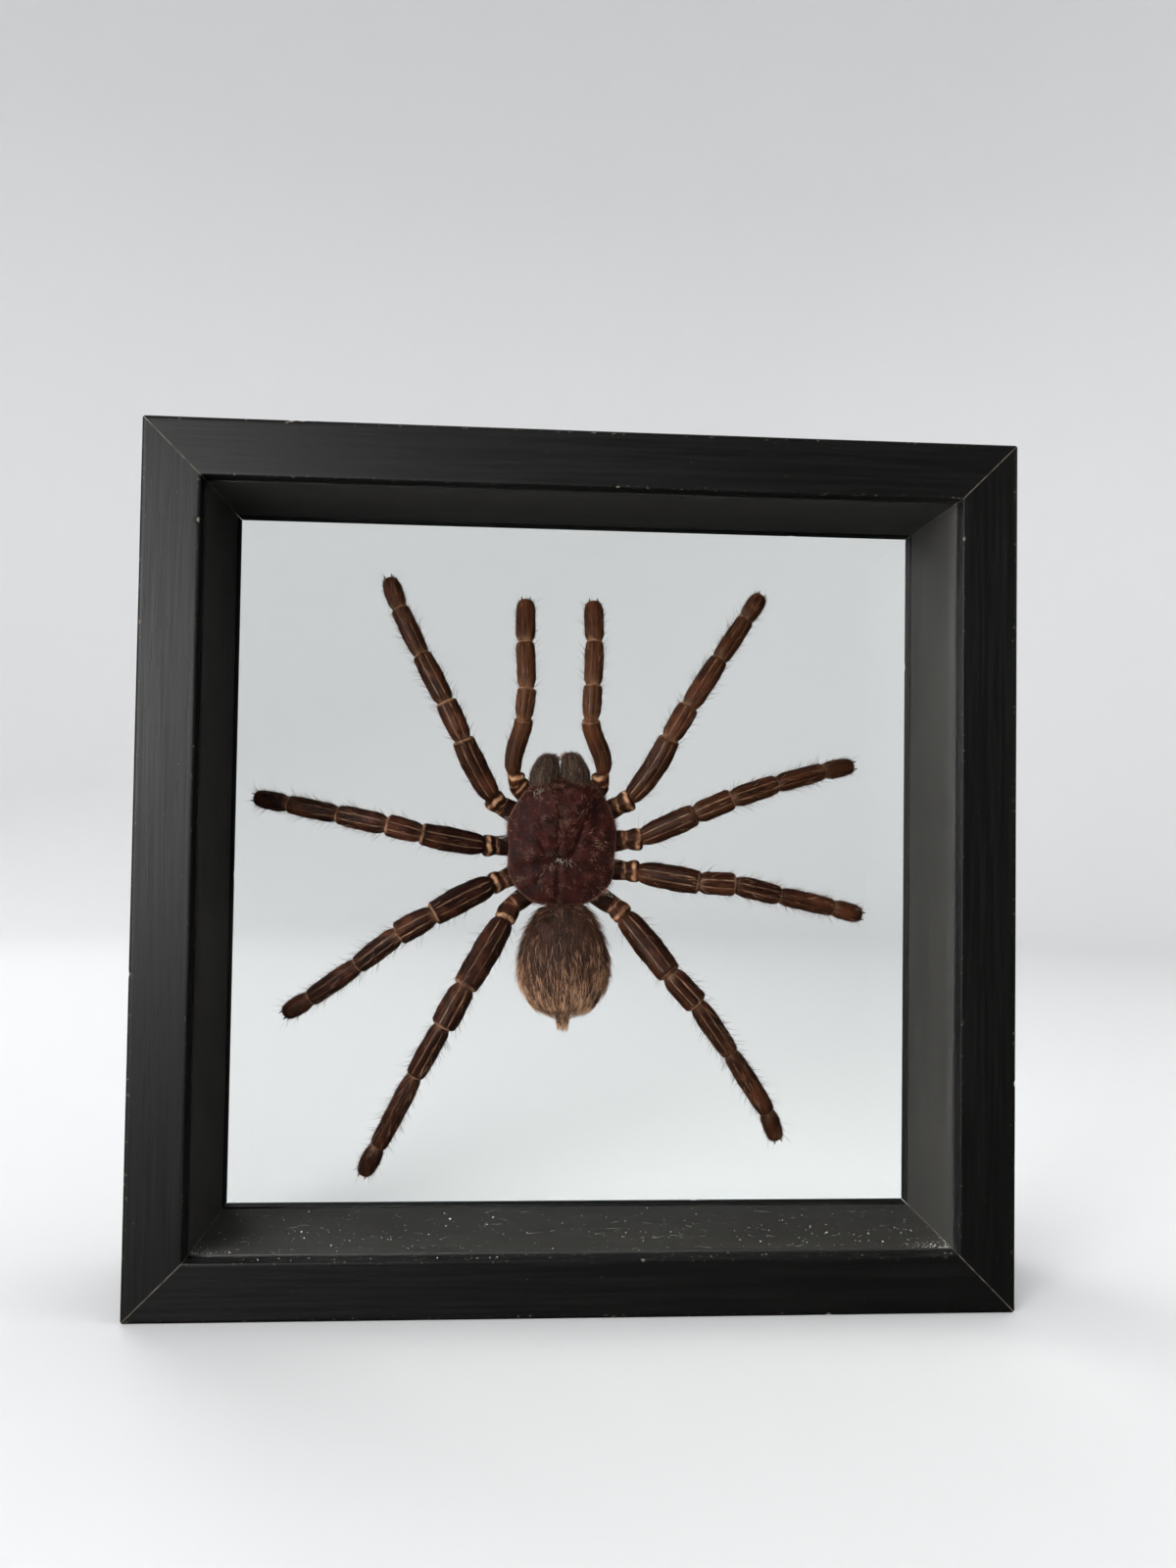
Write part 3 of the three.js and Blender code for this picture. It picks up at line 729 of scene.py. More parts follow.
velvet, shader, place = new_finish(
    "grey-brown velvet", Roughness=0.8, Specular_IOR_Level=0.05, Sheen_Weight=0.04, Sheen_Roughness=0.4,
    Sheen_Tint=(0.6, 0.5, 0.42, 1),
)
lines = mottle(stretched(place, (1500, 1500, 220)), 1, 4)
put(shader.inputs, "Base Color", blend(fade(lines, 0.35, 0.7), (0.012, 0.0075, 0.0056), (0.06, 0.037, 0.027)))
raise_surface(shader, lines, 0.0003)
velvet_hair = hair_finish(
    "velvet hair", (0.011, 0.006, 0.0045), (0.066, 0.037, 0.026), (0.3, 0.2, 0.145), 0.16,
)
red_hair = hair_finish(
    "red-brown fringe", (0.03, 0.009, 0.005), (0.12, 0.036, 0.016), (0.34, 0.14, 0.065), 0.15,
)
for hand, name in HANDS:
    shape = jaw_shape(hand)
    add_round(f"jaw_{name}", 72, 40, shape, velvet, "jaw_velvet", f"chelicera_{name}")

    share, angle = np.arccos(rng.uniform(-0.5, 0.99, JAW_HAIRS)) / math.pi, any_angles(JAW_HAIRS)
    roots = shape(share, angle)
    forwards = unit(shape(share - 0.01, angle) - shape(share + 0.01, angle))
    middle = (JAW_MIDLINE + hand * JAW_APART, JAW_ALONG, JAW_OFF)
    outwards = unit((roots - middle) / np.square(JAW_HALF))
    ways = forwards + 0.38 * outwards + 0.16 * scattered(JAW_HAIRS)
    furrowed = 0.9 + 0.3 * np.sin(11 * angle)
    add_hair(
        f"jaw_{name}_hair", velvet_hair, "jaw_velvet", roots - ROOT_DEPTH * outwards, ways,
        rng.gamma(4, 0.3, JAW_HAIRS).clip(0.6, 2.6), rng.uniform(HAIR_THIN, HAIR_THICK, JAW_HAIRS),
        -0.12 * outwards, rng.beta(1.5, 2, JAW_HAIRS) * furrowed,
    )

    share = np.arccos(rng.uniform(0.72, 0.97, FRINGE_HAIRS)) / math.pi
    angle = rng.uniform(-math.pi * 0.95, -0.05 * math.pi, FRINGE_HAIRS)
    roots = shape(share, angle)
    outwards = unit((roots - middle) / np.square(JAW_HALF))
    ways = outwards + (0.0, 0.5, -0.25) + 0.2 * scattered(FRINGE_HAIRS)
    add_hair(
        f"jaw_{name}_fringe", red_hair, "hair", roots - ROOT_DEPTH * outwards, ways,
        rng.uniform(1.1, 2.3, FRINGE_HAIRS), rng.uniform(0.05, 0.08, FRINGE_HAIRS),
        (-hand * 0.25, -0.1, -0.2), rng.uniform(0, 1, FRINGE_HAIRS),
    )

# ---- The fangs ----
# Each fang is a polished black hook, hinged under the front of its jaw and folded back along
# its inner side, with a redder root where the skin joins it.
FANG_APART, FANG_ROOT, FANG_LENGTH, FANG_OFF, FANG_RADIUS = 3.1, 28.1, 10.4, 2.5, 1.25
polish, shader, place = new_finish(
    "polished black fang", Roughness=0.16, Specular_IOR_Level=0.6, Coat_Weight=0.3,
)
reddened = times(fade(marked(place, "root"), 0.55, 1), fade(mottle(place, 700), 0.3, 0.7, 0.5, 1))
put(shader.inputs, "Base Color", blend(reddened, (0.006, 0.004, 0.004), (0.09, 0.02, 0.01)))
raise_surface(shader, mottle(place, 1800), 0.00004)


def fang_shape(hand):
    """A thorn from its root, curved down and inwards to a point."""
    def shape(share, angle):
        run = (1 - np.cos(share * math.pi)) / 2
        girth = FANG_RADIUS * (1 - run) ** 0.75 * np.minimum(run / 0.06, 1) ** 0.4
        return np.column_stack((
            JAW_MIDLINE + hand * (FANG_APART - 1.4 * run**2) + girth * np.cos(angle) * 0.85,
            FANG_ROOT - FANG_LENGTH * run + 0.3 * np.sin(angle) * girth,
            FANG_OFF - 1.1 * np.sin(run * 2.4) + girth * np.sin(angle),
        ))
    return shape


for hand, name in HANDS:
    fang, share, _ = add_round(
        f"fang_{name}_hook", 24, 30, fang_shape(hand), polish, "fang_cuticle", f"fang_{name}",
    )
    mark(fang, "root", (1 + np.cos(share * math.pi)) / 2)

# ---- The abdomen ----
# A soft bag of skin, narrow where it joins the stalk, which has dried a little dented. Below
# it has two pairs of pale lung covers and a fold between them.
BAG_MIDDLE, BAG_HALF = np.array((1.0, -32.1, 9.9)), np.array((14.1, 17.0, 8.6))
BAG_BLUNT, BAG_DROOP = 2.8, 2.4
LUNGS = [(5.2, -22.6), (6.6, -29.4)]
LUNG_HALF, LUNG_SKIN_HALF, LUNG_RISE = (2.6, 2.2), (2.4, 2.0), 0.45
FOLD_ALONG, FOLD_WIDTH, FOLD_REACH, FOLD_DEPTH = -26.2, 0.7, 9, 0.8


def lung_cover(places, half):
    """1 on the four lung covers, where they are half wide and half long."""
    beside = np.abs(places[:, 0] - BAG_MIDDLE[0])
    return sum(hump(beside - a, half[0], 4) * hump(places[:, 1] - b, half[1], 4) for a, b in LUNGS)


def bag_shape(share, angle):
    """The abdomen, with shallow dents, and the fold and lung covers under it."""
    ahead = np.cos(share * math.pi)
    girth = (1 - np.abs(ahead) ** BAG_BLUNT) ** (1 / BAG_BLUNT) * (1 - 0.2 * step_up(ahead, -0.25, 0.85))
    places = BAG_HALF * np.column_stack((girth * np.cos(angle), ahead, girth * np.sin(angle)))
    dents = [0.07 * noise.noise(p / 6.5) + 0.025 * noise.noise(p / 2.2) for p in map(Vector, places)]
    places = places * (1 + np.array(dents))[:, None] + BAG_MIDDLE
    places[:, 2] -= BAG_DROOP * step_up(ahead, 0.45, 1)
    fold = hump(places[:, 1] - FOLD_ALONG, FOLD_WIDTH) * (np.abs(places[:, 0] - BAG_MIDDLE[0]) < FOLD_REACH)
    places[:, 2] -= (np.sin(angle) < -0.2) * (LUNG_RISE * lung_cover(places, LUNG_HALF) - FOLD_DEPTH * fold)
    return places


bag_skin, shader, place = new_finish("dried abdomen skin", Specular_IOR_Level=0.15)
patches, creases = mottle(place, 190, 5), mottle(place, 1300, 5, 0.65)
colour = blend(fade(patches, 0.3, 0.7), (0.009, 0.004, 0.003), (0.035, 0.014, 0.0095))
lung = times(marked(place, "lung"), fade(creases, 0.3, 0.6, 0.35, 0.75))
put(shader.inputs, "Base Color", blend(lung, colour, (0.33, 0.22, 0.13)))
put(shader.inputs, "Roughness", fade(creases, 0.3, 0.7, 0.45, 0.7))
raise_surface(shader, sums("ADD", creases, patches), 0.0003)
bag, share, angle = add_round("abdomen_skin", 96, 72, bag_shape, bag_skin, "abdomen_coat", "abdomen")
mark(bag, "lung", lung_cover(bag_shape(share, angle), LUNG_SKIN_HALF) * (np.sin(angle) < -0.2))

# ---- The coat of the abdomen ----
# Long soft hairs sweep back and close over the spinnerets: a dark under-coat all over, and
# over it ginger hairs, few along the middle in front and thick at the sides and the rear.
UNDER_COAT, LONG_COAT, STRAYS = 8000, 18000, 1500
TAIL = np.array((1.0, -55, 8))


def bag_hairs(name, count, lengths, girths, lift, tones, keep):
    """Hairs swept back over the abdomen, where keep(ahead, angle) says."""
    ahead, angle = rng.uniform(-0.985, 0.96, count), any_angles(count)
    kept = rng.uniform(0, 1, count) < keep(ahead, angle)
    ahead, angle = ahead[kept], angle[kept]
    count = len(ahead)
    roots = bag_shape(np.arccos(ahead) / math.pi, angle)
    outwards = unit((roots - BAG_MIDDLE) / BAG_HALF**2)
    to_tail = unit(TAIL - roots)
    backwards = unit(to_tail - outwards * np.sum(to_tail * outwards, axis=1, keepdims=True))
    longer = (0.75 + 0.25 * step_up(-ahead, -0.6, 0.4)) * (1 - 0.6 * step_up(-ahead, 0.3, 0.95))
    longer = longer * np.where(np.sin(angle) < -0.25, 0.5, 1)
    lock = np.array([noise.noise_vector(Vector(p) / 1.5) for p in roots])
    lifted = lift * (0.5 + rng.exponential(0.7, (count, 1)).clip(0, 3.2))
    ways = backwards + lifted * outwards + 0.1 * scattered(count) + 0.5 * lock * (1, 0.2, 0.4)
    inwards = to_tail * (1, 0.2, 0.5) * (0.15 + 0.75 * step_up(-ahead, 0, 0.8))[:, None]
    sweep = -0.5 * lifted * outwards + inwards + 0.12 * scattered(count) - 0.25 * lock * (1, 0, 0)
    add_hair(
        name, ginger_hair, "hair", roots - 0.15 * outwards, ways, rng.uniform(*lengths, count) * longer,
        rng.uniform(*girths, count), sweep,
        tones(ahead, angle) + rng.normal(0, 0.2, count) + 0.6 * lock[:, 1],
    )


def along_middle(ahead, angle):
    """1 down the middle of the back in front, 0 at the sides and the rear."""
    return hump(angle - math.pi / 2, 0.5) * step_up(ahead, -0.35, 0.35)


ginger_hair = hair_finish(
    "ginger coat", (0.01, 0.0024, 0.0014), (0.085, 0.031, 0.0165), (0.62, 0.36, 0.22), 0.12,
)
bag_hairs(
    "abdomen_under_coat", UNDER_COAT, (1.4, 2.8), (0.06, 0.1), 0.45,
    lambda ahead, angle: 0.14,
    lambda ahead, angle: 1,
)
bag_hairs(
    "abdomen_long_coat", LONG_COAT, (4.0, 8.5), (0.055, 0.1), 0.4,
    lambda ahead, angle: 0.18 + 0.55 * step_up(-ahead, -0.7, 0.75) - 0.15 * along_middle(ahead, angle),
    lambda ahead, angle: (0.4 + 0.3 * step_up(-ahead, -0.8, 0.8)) * (1 - 0.5 * along_middle(ahead, angle)),
)
bag_hairs(
    "abdomen_stray_hairs", STRAYS, (5.0, 9.5), (0.07, 0.1), 1.1,
    lambda ahead, angle: 0.45 + 0.3 * step_up(-ahead, -0.5, 0.5),
    lambda ahead, angle: 0.4 + 0.6 * step_up(-ahead, -0.8, 0.2),
)

# ---- The legs and feelers ----
# Eight legs of seven joints and two feelers of six, dried hard with the spider spread. Each
# joint is a tube of brown cuticle with lengthwise creases and a pair of pale bare stripes on
# its back, paler at its ends where thin skin ties it to the next.
OFF_PANE = np.array((0, 0, 1.0))
STRIPE_ANGLE, STRIPE_WIDTH, STRIPE_SPREAD, STRIPE_DEPTH = 0.36, 0.085, 0.13, 0.08
NECK_IN, RIM_OUT, JOINT_BOW = 0.13, 0.03, 0.35
STRAY_SHARE = 0.45
CUTICLE_DARK, CUTICLE, CUTICLE_RED = (0.0042, 0.0011, 0.0007), (0.018, 0.0052, 0.0028), (0.078, 0.0235, 0.011)
# The ruddy red is the limbs' own colour, and on the right legs it is also a painted reflection of warm light.
CUTICLE_RUDDY_AND_REFLECTED = (0.078, 0.026, 0.0095)
STRIPE_TAN, JOINT_PALE = (0.34, 0.19, 0.115), (0.36, 0.185, 0.1)
# Each limb: how stout its thigh and knee are, how much redder it is (its own colour, and on the
# right legs also a painted reflection of warm light), and its joints from the body outwards:
# (across, along the body towards the head, off the pane).
LIMBS = {
    "leg_left_1": (1.0, 0.25, [
        (-9, 8.5, 6), (-20, 15.5, 7), (-21, 16.5, 7.5), (-26.5, 25.5, 9.7), (-31, 35, 11.5),
        (-36.5, 46.5, 11), (-44.5, 61.5, 7), (-52, 76.5, 4), (-55.5, 86, 2.9)]),
    "leg_left_2": (1.0, 0.0, [
        (-10, 2.5, 6), (-21.5, 2.5, 7), (-23, 2.5, 7.5), (-33, 4, 10.5), (-43, 6, 12.5),
        (-53.5, 8.5, 12), (-69, 11.5, 7.5), (-85, 14.5, 4), (-95.5, 16.5, 2.9)]),
    "leg_left_3": (1.1, 0.0, [
        (-9.5, -3.5, 6), (-19, -8.5, 7), (-20.5, -9, 7.5), (-30, -13.5, 10.7), (-39, -18.5, 13),
        (-49.5, -24.5, 12.5), (-62, -34.5, 8), (-77, -45.5, 4), (-85, -50.5, 2.9)]),
    "leg_left_4": (1.17, 0.1, [
        (-7.5, -9, 6), (-15.5, -16.5, 7), (-17, -19.5, 7.5), (-23, -30, 11.5), (-29, -40, 14.5),
        (-35.5, -52, 14), (-44, -68, 9), (-55.5, -91, 4.5), (-60, -100, 2.9)]),
    "leg_right_1": (1.0, 0.45, [
        (8.5, 8.5, 6), (18.5, 16, 7), (20.5, 17, 7.5), (26.5, 24.5, 9.5), (33, 36.5, 11.5),
        (39, 46.5, 11), (49, 62, 7.5), (58, 75.5, 4.5), (63, 83.5, 3.5)]),
    "leg_right_2": (1.0, 0.35, [
        (9.5, 2.5, 6), (21, 5, 7), (24, 5, 7.5), (32.5, 9, 10.5), (41, 13, 12.5),
        (52.5, 18, 12), (67.5, 23, 7.5), (83.5, 27.5, 4), (93.5, 29.5, 2.9)]),
    "leg_right_3": (1.06, 0.25, [
        (9.5, -3.5, 6), (21, -5, 7), (23, -5, 7.5), (33, -6.5, 10.7), (42.5, -8, 13),
        (53.5, -8.5, 12.5), (68.5, -12, 8), (87, -16, 4), (96.5, -18.5, 2.9)]),
    "leg_right_4": (1.14, 0.2, [
        (7.5, -9, 6), (17.5, -16.5, 7), (19, -18, 7.5), (26.5, -27, 11.5), (33.5, -36, 14.5),
        (42, -45, 14), (53.5, -61, 9), (66.5, -80.5, 4.5), (70, -89.5, 2.9)]),
    "pedipalp_left": (1.0, 0.8, [
        (-11, 16.5, 5), (-14.5, 22, 6.5), (-14.5, 24, 7), (-15.5, 29, 8), (-13.5, 37, 9.5),
        (-12.5, 41.7, 11), (-11.6, 51.2, 10), (-12.3, 66.2, 6.5), (-12.3, 80.3, 3.1)]),
    "pedipalp_right": (1.0, 0.8, [
        (10, 16.5, 5), (12.5, 22.5, 6.5), (12, 24.5, 7), (12.5, 30, 8), (9.5, 37.5, 9.5),
        (8.5, 41.8, 11), (9, 52.6, 10), (9.6, 66.8, 6.5), (9.2, 80.3, 3.1)]),
}
# Each joint: first and last place in the list, overlaps, radii, bluntness of its two ends,
# swell, depth of its stripes, how pale its ends are, hairs for each millimetre, long hairs.
LEG_PLAN = [
    ("hip", 0, 1, (0, 0.8), (2.8, 3.1), (2.4, 5), 0.2, 0.0, 0.5, 22, 0.0),
    ("ring", 1, 2, (1.9, 1.7), (3.1, 3.3), (5, 6), 0.25, 0.0, 1.4, 10, 0.0),
    ("thigh", 2, 4, (0.4, 0.5), (3.15, 3.5), (3.8, 9), 0.4, 1.0, 0.7, 24, 4.5),
    ("knee", 4, 5, (1.0, 0.5), (3.15, 3.45), (3.8, 8), 0.15, 1.0, 0.9, 22, 5.5),
    ("shin", 5, 6, (1.0, 0.5), (3.1, 3.05), (4.0, 8), 0.2, 0.9, 0.9, 28, 10.0),
    ("instep", 6, 7, (1.0, 0.4), (2.9, 2.85), (4.0, 8), 0.15, 0.35, 0.9, 44, 9.0),
    ("foot", 7, 8, (0.8, 0.6), (2.75, 2.75), (4.0, 3.2), 0.15, 0.0, 0.8, 76, 4.0),
]
FEELER_PLAN = [
    ("hip", 0, 1, (0, 0.8), (3.4, 2.9), (2.4, 5), 0.4, 0.0, 0.4, 22, 0.0),
    ("ring", 1, 2, (1.5, 1.5), (2.6, 2.7), (5, 6), 0.15, 0.0, 1.3, 10, 0.0),
    ("thigh", 2, 5, (0.4, 0.5), (2.6, 2.95), (3.8, 9), 0.1, 0.3, 0.5, 24, 3.0),
    ("knee", 5, 6, (0.9, 0.5), (2.75, 3.0), (3.8, 8), 0.12, 0.55, 0.9, 22, 4.0),
    ("shin", 6, 7, (0.9, 0.5), (2.8, 2.85), (4.0, 8), 0.15, 0.35, 1.2, 30, 7.0),
    ("foot", 7, 8, (0.8, 0.3), (2.85, 3.05), (3.8, 3.6), 0.2, 0.0, 1.3, 60, 4.0),
]


def joint_of(row, joints, stoutness, run, hand):
    """One joint of a limb, from its row of the plan, with its line and what its skin needs."""
    kind, first, last, overlaps, radii, ends, swell, stripe, pale, hairs, long_hairs = row
    line = np.array(joints[first:last + 1], float)
    if kind == "hip":
        line[0] = line[0] * (0.72, 1, 1) - (0, 0, 1.4)
        line[1] -= (0, 0, 0.8)
    line[0] -= overlaps[0] * unit(line[1:2] - line[:1])[0]
    line[-1] += overlaps[1] * unit(line[-1:] - line[-2:-1])[0]
    steps = np.linalg.norm(np.diff(line, axis=0), axis=1)
    stations = np.concatenate(([0], np.cumsum(steps))) / steps.sum()
    radii = np.array(radii) * (stoutness if kind in ("thigh", "knee") else 1)
    return dict(
        kind=kind, powers=np.arange(len(line))[::-1], curve=np.polyfit(stations, line, len(line) - 1),
        length=steps.sum(), radii=radii, ends=ends, swell=swell, stripe=stripe, pale=pale, run=run,
        hairs=hairs, long_hairs=long_hairs, hand=hand, bow=JOINT_BOW if kind in ("shin", "instep") else 0.0,
    )


def joint_skin(joint, share, angle):
    """Places on a joint's skin at shares of its length and angles round it, and which way is out and on."""
    length, hand, powers = joint["length"], joint["hand"], joint["powers"] * 1.0
    column = share[:, None]
    places = column**powers @ joint["curve"]
    onwards = unit((powers * column ** np.maximum(powers - 1, 0)) @ joint["curve"])
    back = unit(OFF_PANE - onwards * (onwards @ OFF_PANE)[:, None])
    side = np.cross(onwards, back)
    arch = np.sin(math.pi * share)
    blunt = np.where(share < 0.5, *joint["ends"])
    start, end = joint["radii"]
    run = joint["run"] + share * length
    girth = (1 - np.abs(2 * share - 1) ** blunt) ** (1 / blunt)
    girth = girth * (start + (end - start) * share + joint["swell"] * arch)
    stripes = sum(hump(angle - math.pi / 2 - s, STRIPE_SPREAD) for s in (-STRIPE_ANGLE, STRIPE_ANGLE))
    crease = 0.022 * np.sin(6 * angle + 0.21 * run + hand) + 0.014 * np.sin(9 * angle - 0.33 * run)
    dent = 0.022 * np.sin(0.75 * run + 2 * angle + hand) + 0.012 * np.sin(1.9 * run - angle)
    flare = RIM_OUT * step_up(share, 1 - 2.2 / length, 1 - 0.6 / length)
    neck = NECK_IN * (1 - step_up(share, 1.2 / length, 3.8 / length)) * (joint["kind"] != "hip")
    hollows = STRIPE_DEPTH * joint["stripe"] * stripes * np.sqrt(arch)
    girth = girth * (1 + (crease + dent) * np.sqrt(arch) - hollows - neck + flare)
    outwards = side * np.cos(angle)[:, None] + back * np.sin(angle)[:, None]
    skin = places + back * (joint["bow"] * arch)[:, None] + outwards * girth[:, None]
    skin[:, 2] = np.maximum(skin[:, 2], HAIR_LOWEST)
    return skin, outwards, onwards


def cuticle_finish():
    """Brown cuticle drawn out lengthwise, with pale stripes on its back and pale ends."""
    material, shader, place = new_finish(
        "brown cuticle", Specular_IOR_Level=0.06, Coat_Weight=0.01, Coat_Roughness=0.2,
    )
    around = marked(place, "around", "Vector")
    parts = add_node(place.id_data, "SeparateXYZ", {"Vector": around}).outputs
    patches = mottle(stretched(around, (3.2, 3.2, 0.07)), 1, 5, 0.6)
    lines = mottle(stretched(around, (13, 13, 0.3)), 1, 4, 0.6)
    blotches = mottle(place, 130, 4)
    colour = blend(fade(patches, 0.33, 0.68), CUTICLE_DARK, CUTICLE)
    colour = blend(fade(blotches, 0.48, 0.7, 0, 0.6), colour, CUTICLE_RED)
    # Painted reflection in part: the right legs carry more of the ruddy red than the left, for the warm light
    # they reflect.
    ruddy_and_reflected = times(marked(place, "ruddy_and_reflected"), fade(patches, 0.3, 0.62, 0.15, 0.95))
    colour = blend(times(ruddy_and_reflected, fade(lines, 0.35, 0.6, 0.55, 1)), colour, CUTICLE_RUDDY_AND_REFLECTED)
    colour = blend(fade(lines, 0.55, 0.8, 0, 0.1), colour, STRIPE_TAN)
    from_stripe = sums("ABSOLUTE", sums("SUBTRACT", sums("ABSOLUTE", parts["X"]), math.sin(STRIPE_ANGLE)))
    stripe = times(fade(from_stripe, STRIPE_WIDTH, STRIPE_WIDTH * 0.3), fade(parts["Y"], 0.2, 0.5))
    stripe = times(times(stripe, marked(place, "stripe")), fade(lines, 0.35, 0.65, 0.15, 0.7))
    colour = blend(times(stripe, fade(blotches, 0.35, 0.6, 1, 0.5)), colour, STRIPE_TAN)
    pale = marked(place, "pale")
    colour = blend(fade(pale, 0, -1, 0, 0.85), colour, CUTICLE_DARK)
    pale = sums("MAXIMUM", times(pale, fade(mottle(place, 420, 4), 0.38, 0.6, 0.2, 1)), 0)
    put(shader.inputs, "Base Color", blend(pale, colour, JOINT_PALE))
    put(shader.inputs, "Roughness", fade(lines, 0.3, 0.75, 0.3, 0.5))
    raise_surface(shader, sums("ADD", lines, times(patches, 1.2)), 0.00013)
    return material


def paleness(joint, overlap, share, angle):
    """How pale a joint is at its ends: 1 is bare thin skin, and less than 0 is a dark band."""
    along, left = share * joint["length"], (1 - share) * joint["length"]
    if joint["kind"] == "ring":
        wavy = 0.25 * np.sin(3 * angle + joint["hand"]) + 0.15 * np.sin(7 * angle)
        bands = 0.7 * hump(along - overlap + 0.7 + wavy, 0.6) + hump(1.3 - left + wavy, 0.9)
        return 1.6 * np.minimum(bands, 1) - 0.6
    if joint["kind"] == "hip":
        return 1.5 * hump(left - 2.3, 0.5) - 0.8
    ends = 0.45 * hump(along, 1.7) + 0.75 * hump(left - 0.4, 0.35)
    return np.minimum(joint["pale"] * ends, 1) - 0.5 * (joint["kind"] == "thigh") * np.sin(math.pi * share)


def joint_hairs(joint):
    """The roots, ways, lengths, widths and tones of the hairs of one joint."""
    short, long = (int(joint[each] * joint["length"]) for each in ("hairs", "long_hairs"))
    count = short + long
    is_long = np.arange(count) >= short
    is_stray = is_long & (rng.uniform(0, 1, count) < STRAY_SHARE)
    share, angle = rng.uniform(0.04, 0.97, count), any_angles(count)
    places, outwards, onwards = joint_skin(joint, share, angle)
    is_sole = (np.sin(angle) < 0.1) & (joint["kind"] in ("foot", "instep")) & ~is_long
    lean = np.where(is_stray, 1.3, np.where(is_sole, 0.95, 0.38))[:, None]
    ways = onwards * np.where(is_sole, 0.5, 1.0)[:, None] + lean * outwards + 0.16 * scattered(count)
    lengths = np.where(is_long, rng.uniform(2.2, 5.2, count), rng.uniform(0.6, 1.3, count))
    widths = np.where(is_long, 0.08, rng.uniform(0.045, 0.07, count))
    tones = np.where(is_long, rng.uniform(0.3, 0.95, count), rng.beta(1.4, 3.4, count))
    tones = np.where(is_stray, rng.uniform(0, 0.35, count), tones)
    return places - 0.12 * outwards, ways, lengths, widths, tones


def make_limb(name, stoutness, redness_and_reflection, joints, plan, hand):
    """One limb: its joints as closed tubes in one mesh, and its hairs in another."""
    bm = bmesh.new()
    around_kept = bm.verts.layers.float_vector.new("around")
    stripe_kept, pale_kept = (bm.verts.layers.float.new(each) for each in ("stripe", "pale"))
    hairs = []
    run = 0
    for row in plan:
        joint = joint_of(row, joints, stoutness, run, hand)
        length = joint["length"]

        def shape(share, angle):
            return joint_skin(joint, (1 - np.cos(share * math.pi)) / 2, angle)[0]

        ball, share, angle = add_ball(bm, 48, int(20 + length * 0.8), shape)
        share = (1 - np.cos(share * math.pi)) / 2
        around = np.column_stack((np.cos(angle), np.sin(angle), run + share * length))
        stripe = joint["stripe"] * step_up(share, 0.08, 0.2) * step_up(1 - share, 0.04, 0.12)
        for vert, *values in zip(ball, around, stripe, paleness(joint, row[3][0], share, angle)):
            vert[around_kept], vert[stripe_kept], vert[pale_kept] = values
        hairs.append(joint_hairs(joint))
        run += length
    tip = joint_skin(joint, np.array((0.95, 0.95)), np.array((math.pi * 0.3, math.pi * 0.7)))
    claw_roots.append(tip[0])
    claw_ways.append(tip[2] - 0.25 * OFF_PANE)

    limb = finish_mesh(bm, name + "_joints", ON_PANE)
    # The redness is partly the limb's own colour and, on the right legs, partly a painted reflection of warm
    # light.
    mark(limb, "ruddy_and_reflected", np.full(len(limb.vertices), redness_and_reflection))
    add_piece(limb, cuticle, "leg_cuticle", name)
    roots, ways, lengths, widths, tones = map(np.concatenate, zip(*hairs))
    sweep = 0.06 * scattered(len(roots)) - (0, 0, 0.08)
    add_hair(name + "_hair", leg_hair, "hair", roots, ways, lengths, widths, sweep, tones)


cuticle = cuticle_finish()
leg_hair = hair_finish("leg hair", (0.006, 0.0017, 0.001), (0.034, 0.0115, 0.0062), (0.42, 0.25, 0.155), 0.1)
claw_roots, claw_ways = [], []
for hand, (name, (stoutness, redness_and_reflection, joints)) in enumerate(LIMBS.items()):
    make_limb(name, stoutness, redness_and_reflection, joints, LEG_PLAN if "leg" in name else FEELER_PLAN, hand)

# ---- The claws ----
# Two small black hooks at the tip of each leg and feeler, in the brush of hairs of the foot.
CLAW_LENGTH, CLAW_WIDTH, CLAW_BEND = 1.9, 0.5, (0, 0, -0.5)
claws = hair_mesh(
    "claws", np.concatenate(claw_roots), np.concatenate(claw_ways), CLAW_LENGTH, CLAW_WIDTH, CLAW_BEND, 0.5,
    ON_PANE, HAIR_LOWEST,
)
mark(claws, "root", np.tile((0.6, 0.6, 0.6, 0.3, 0.3, 0.3, 0), 2 * len(LIMBS)))
add_piece(claws, polish, "fang_cuticle")

# ---- The spinnerets ----
# Two soft fingers of three joints at the end of the abdomen, brown and hairy, lying close
# together and pointing back.
FINGER_APART, FINGER_START, FINGER_LENGTH, FINGER_OFF = 1.25, -45.4, 7.9, 9.2
FINGER_THICK, FINGER_TAPER, PINCH = 1.8, 1.0, 0.2
FINGER_HAIRS = 650


def finger_shape(hand):
    """One spinneret, pinched at its two joints."""
    def shape(share, angle):
        run = (1 - np.cos(share * math.pi)) / 2
        pinch = 1 - PINCH * hump(run - 0.45, 0.035) - PINCH * hump(run - 0.76, 0.03)
        girth = (FINGER_THICK - FINGER_TAPER * run) * (1 - np.abs(2 * run - 1) ** 5) ** 0.2
        girth = girth * pinch * (1 + 0.03 * np.sin(5 * angle))
        return np.column_stack((
            BAG_MIDDLE[0] + hand * (FINGER_APART - 0.4 * run) + girth * np.cos(angle),
            FINGER_START - FINGER_LENGTH * run * (1 if hand < 0 else 1.04),
            FINGER_OFF - 0.5 * run + girth * np.sin(angle),
        ))
    return shape


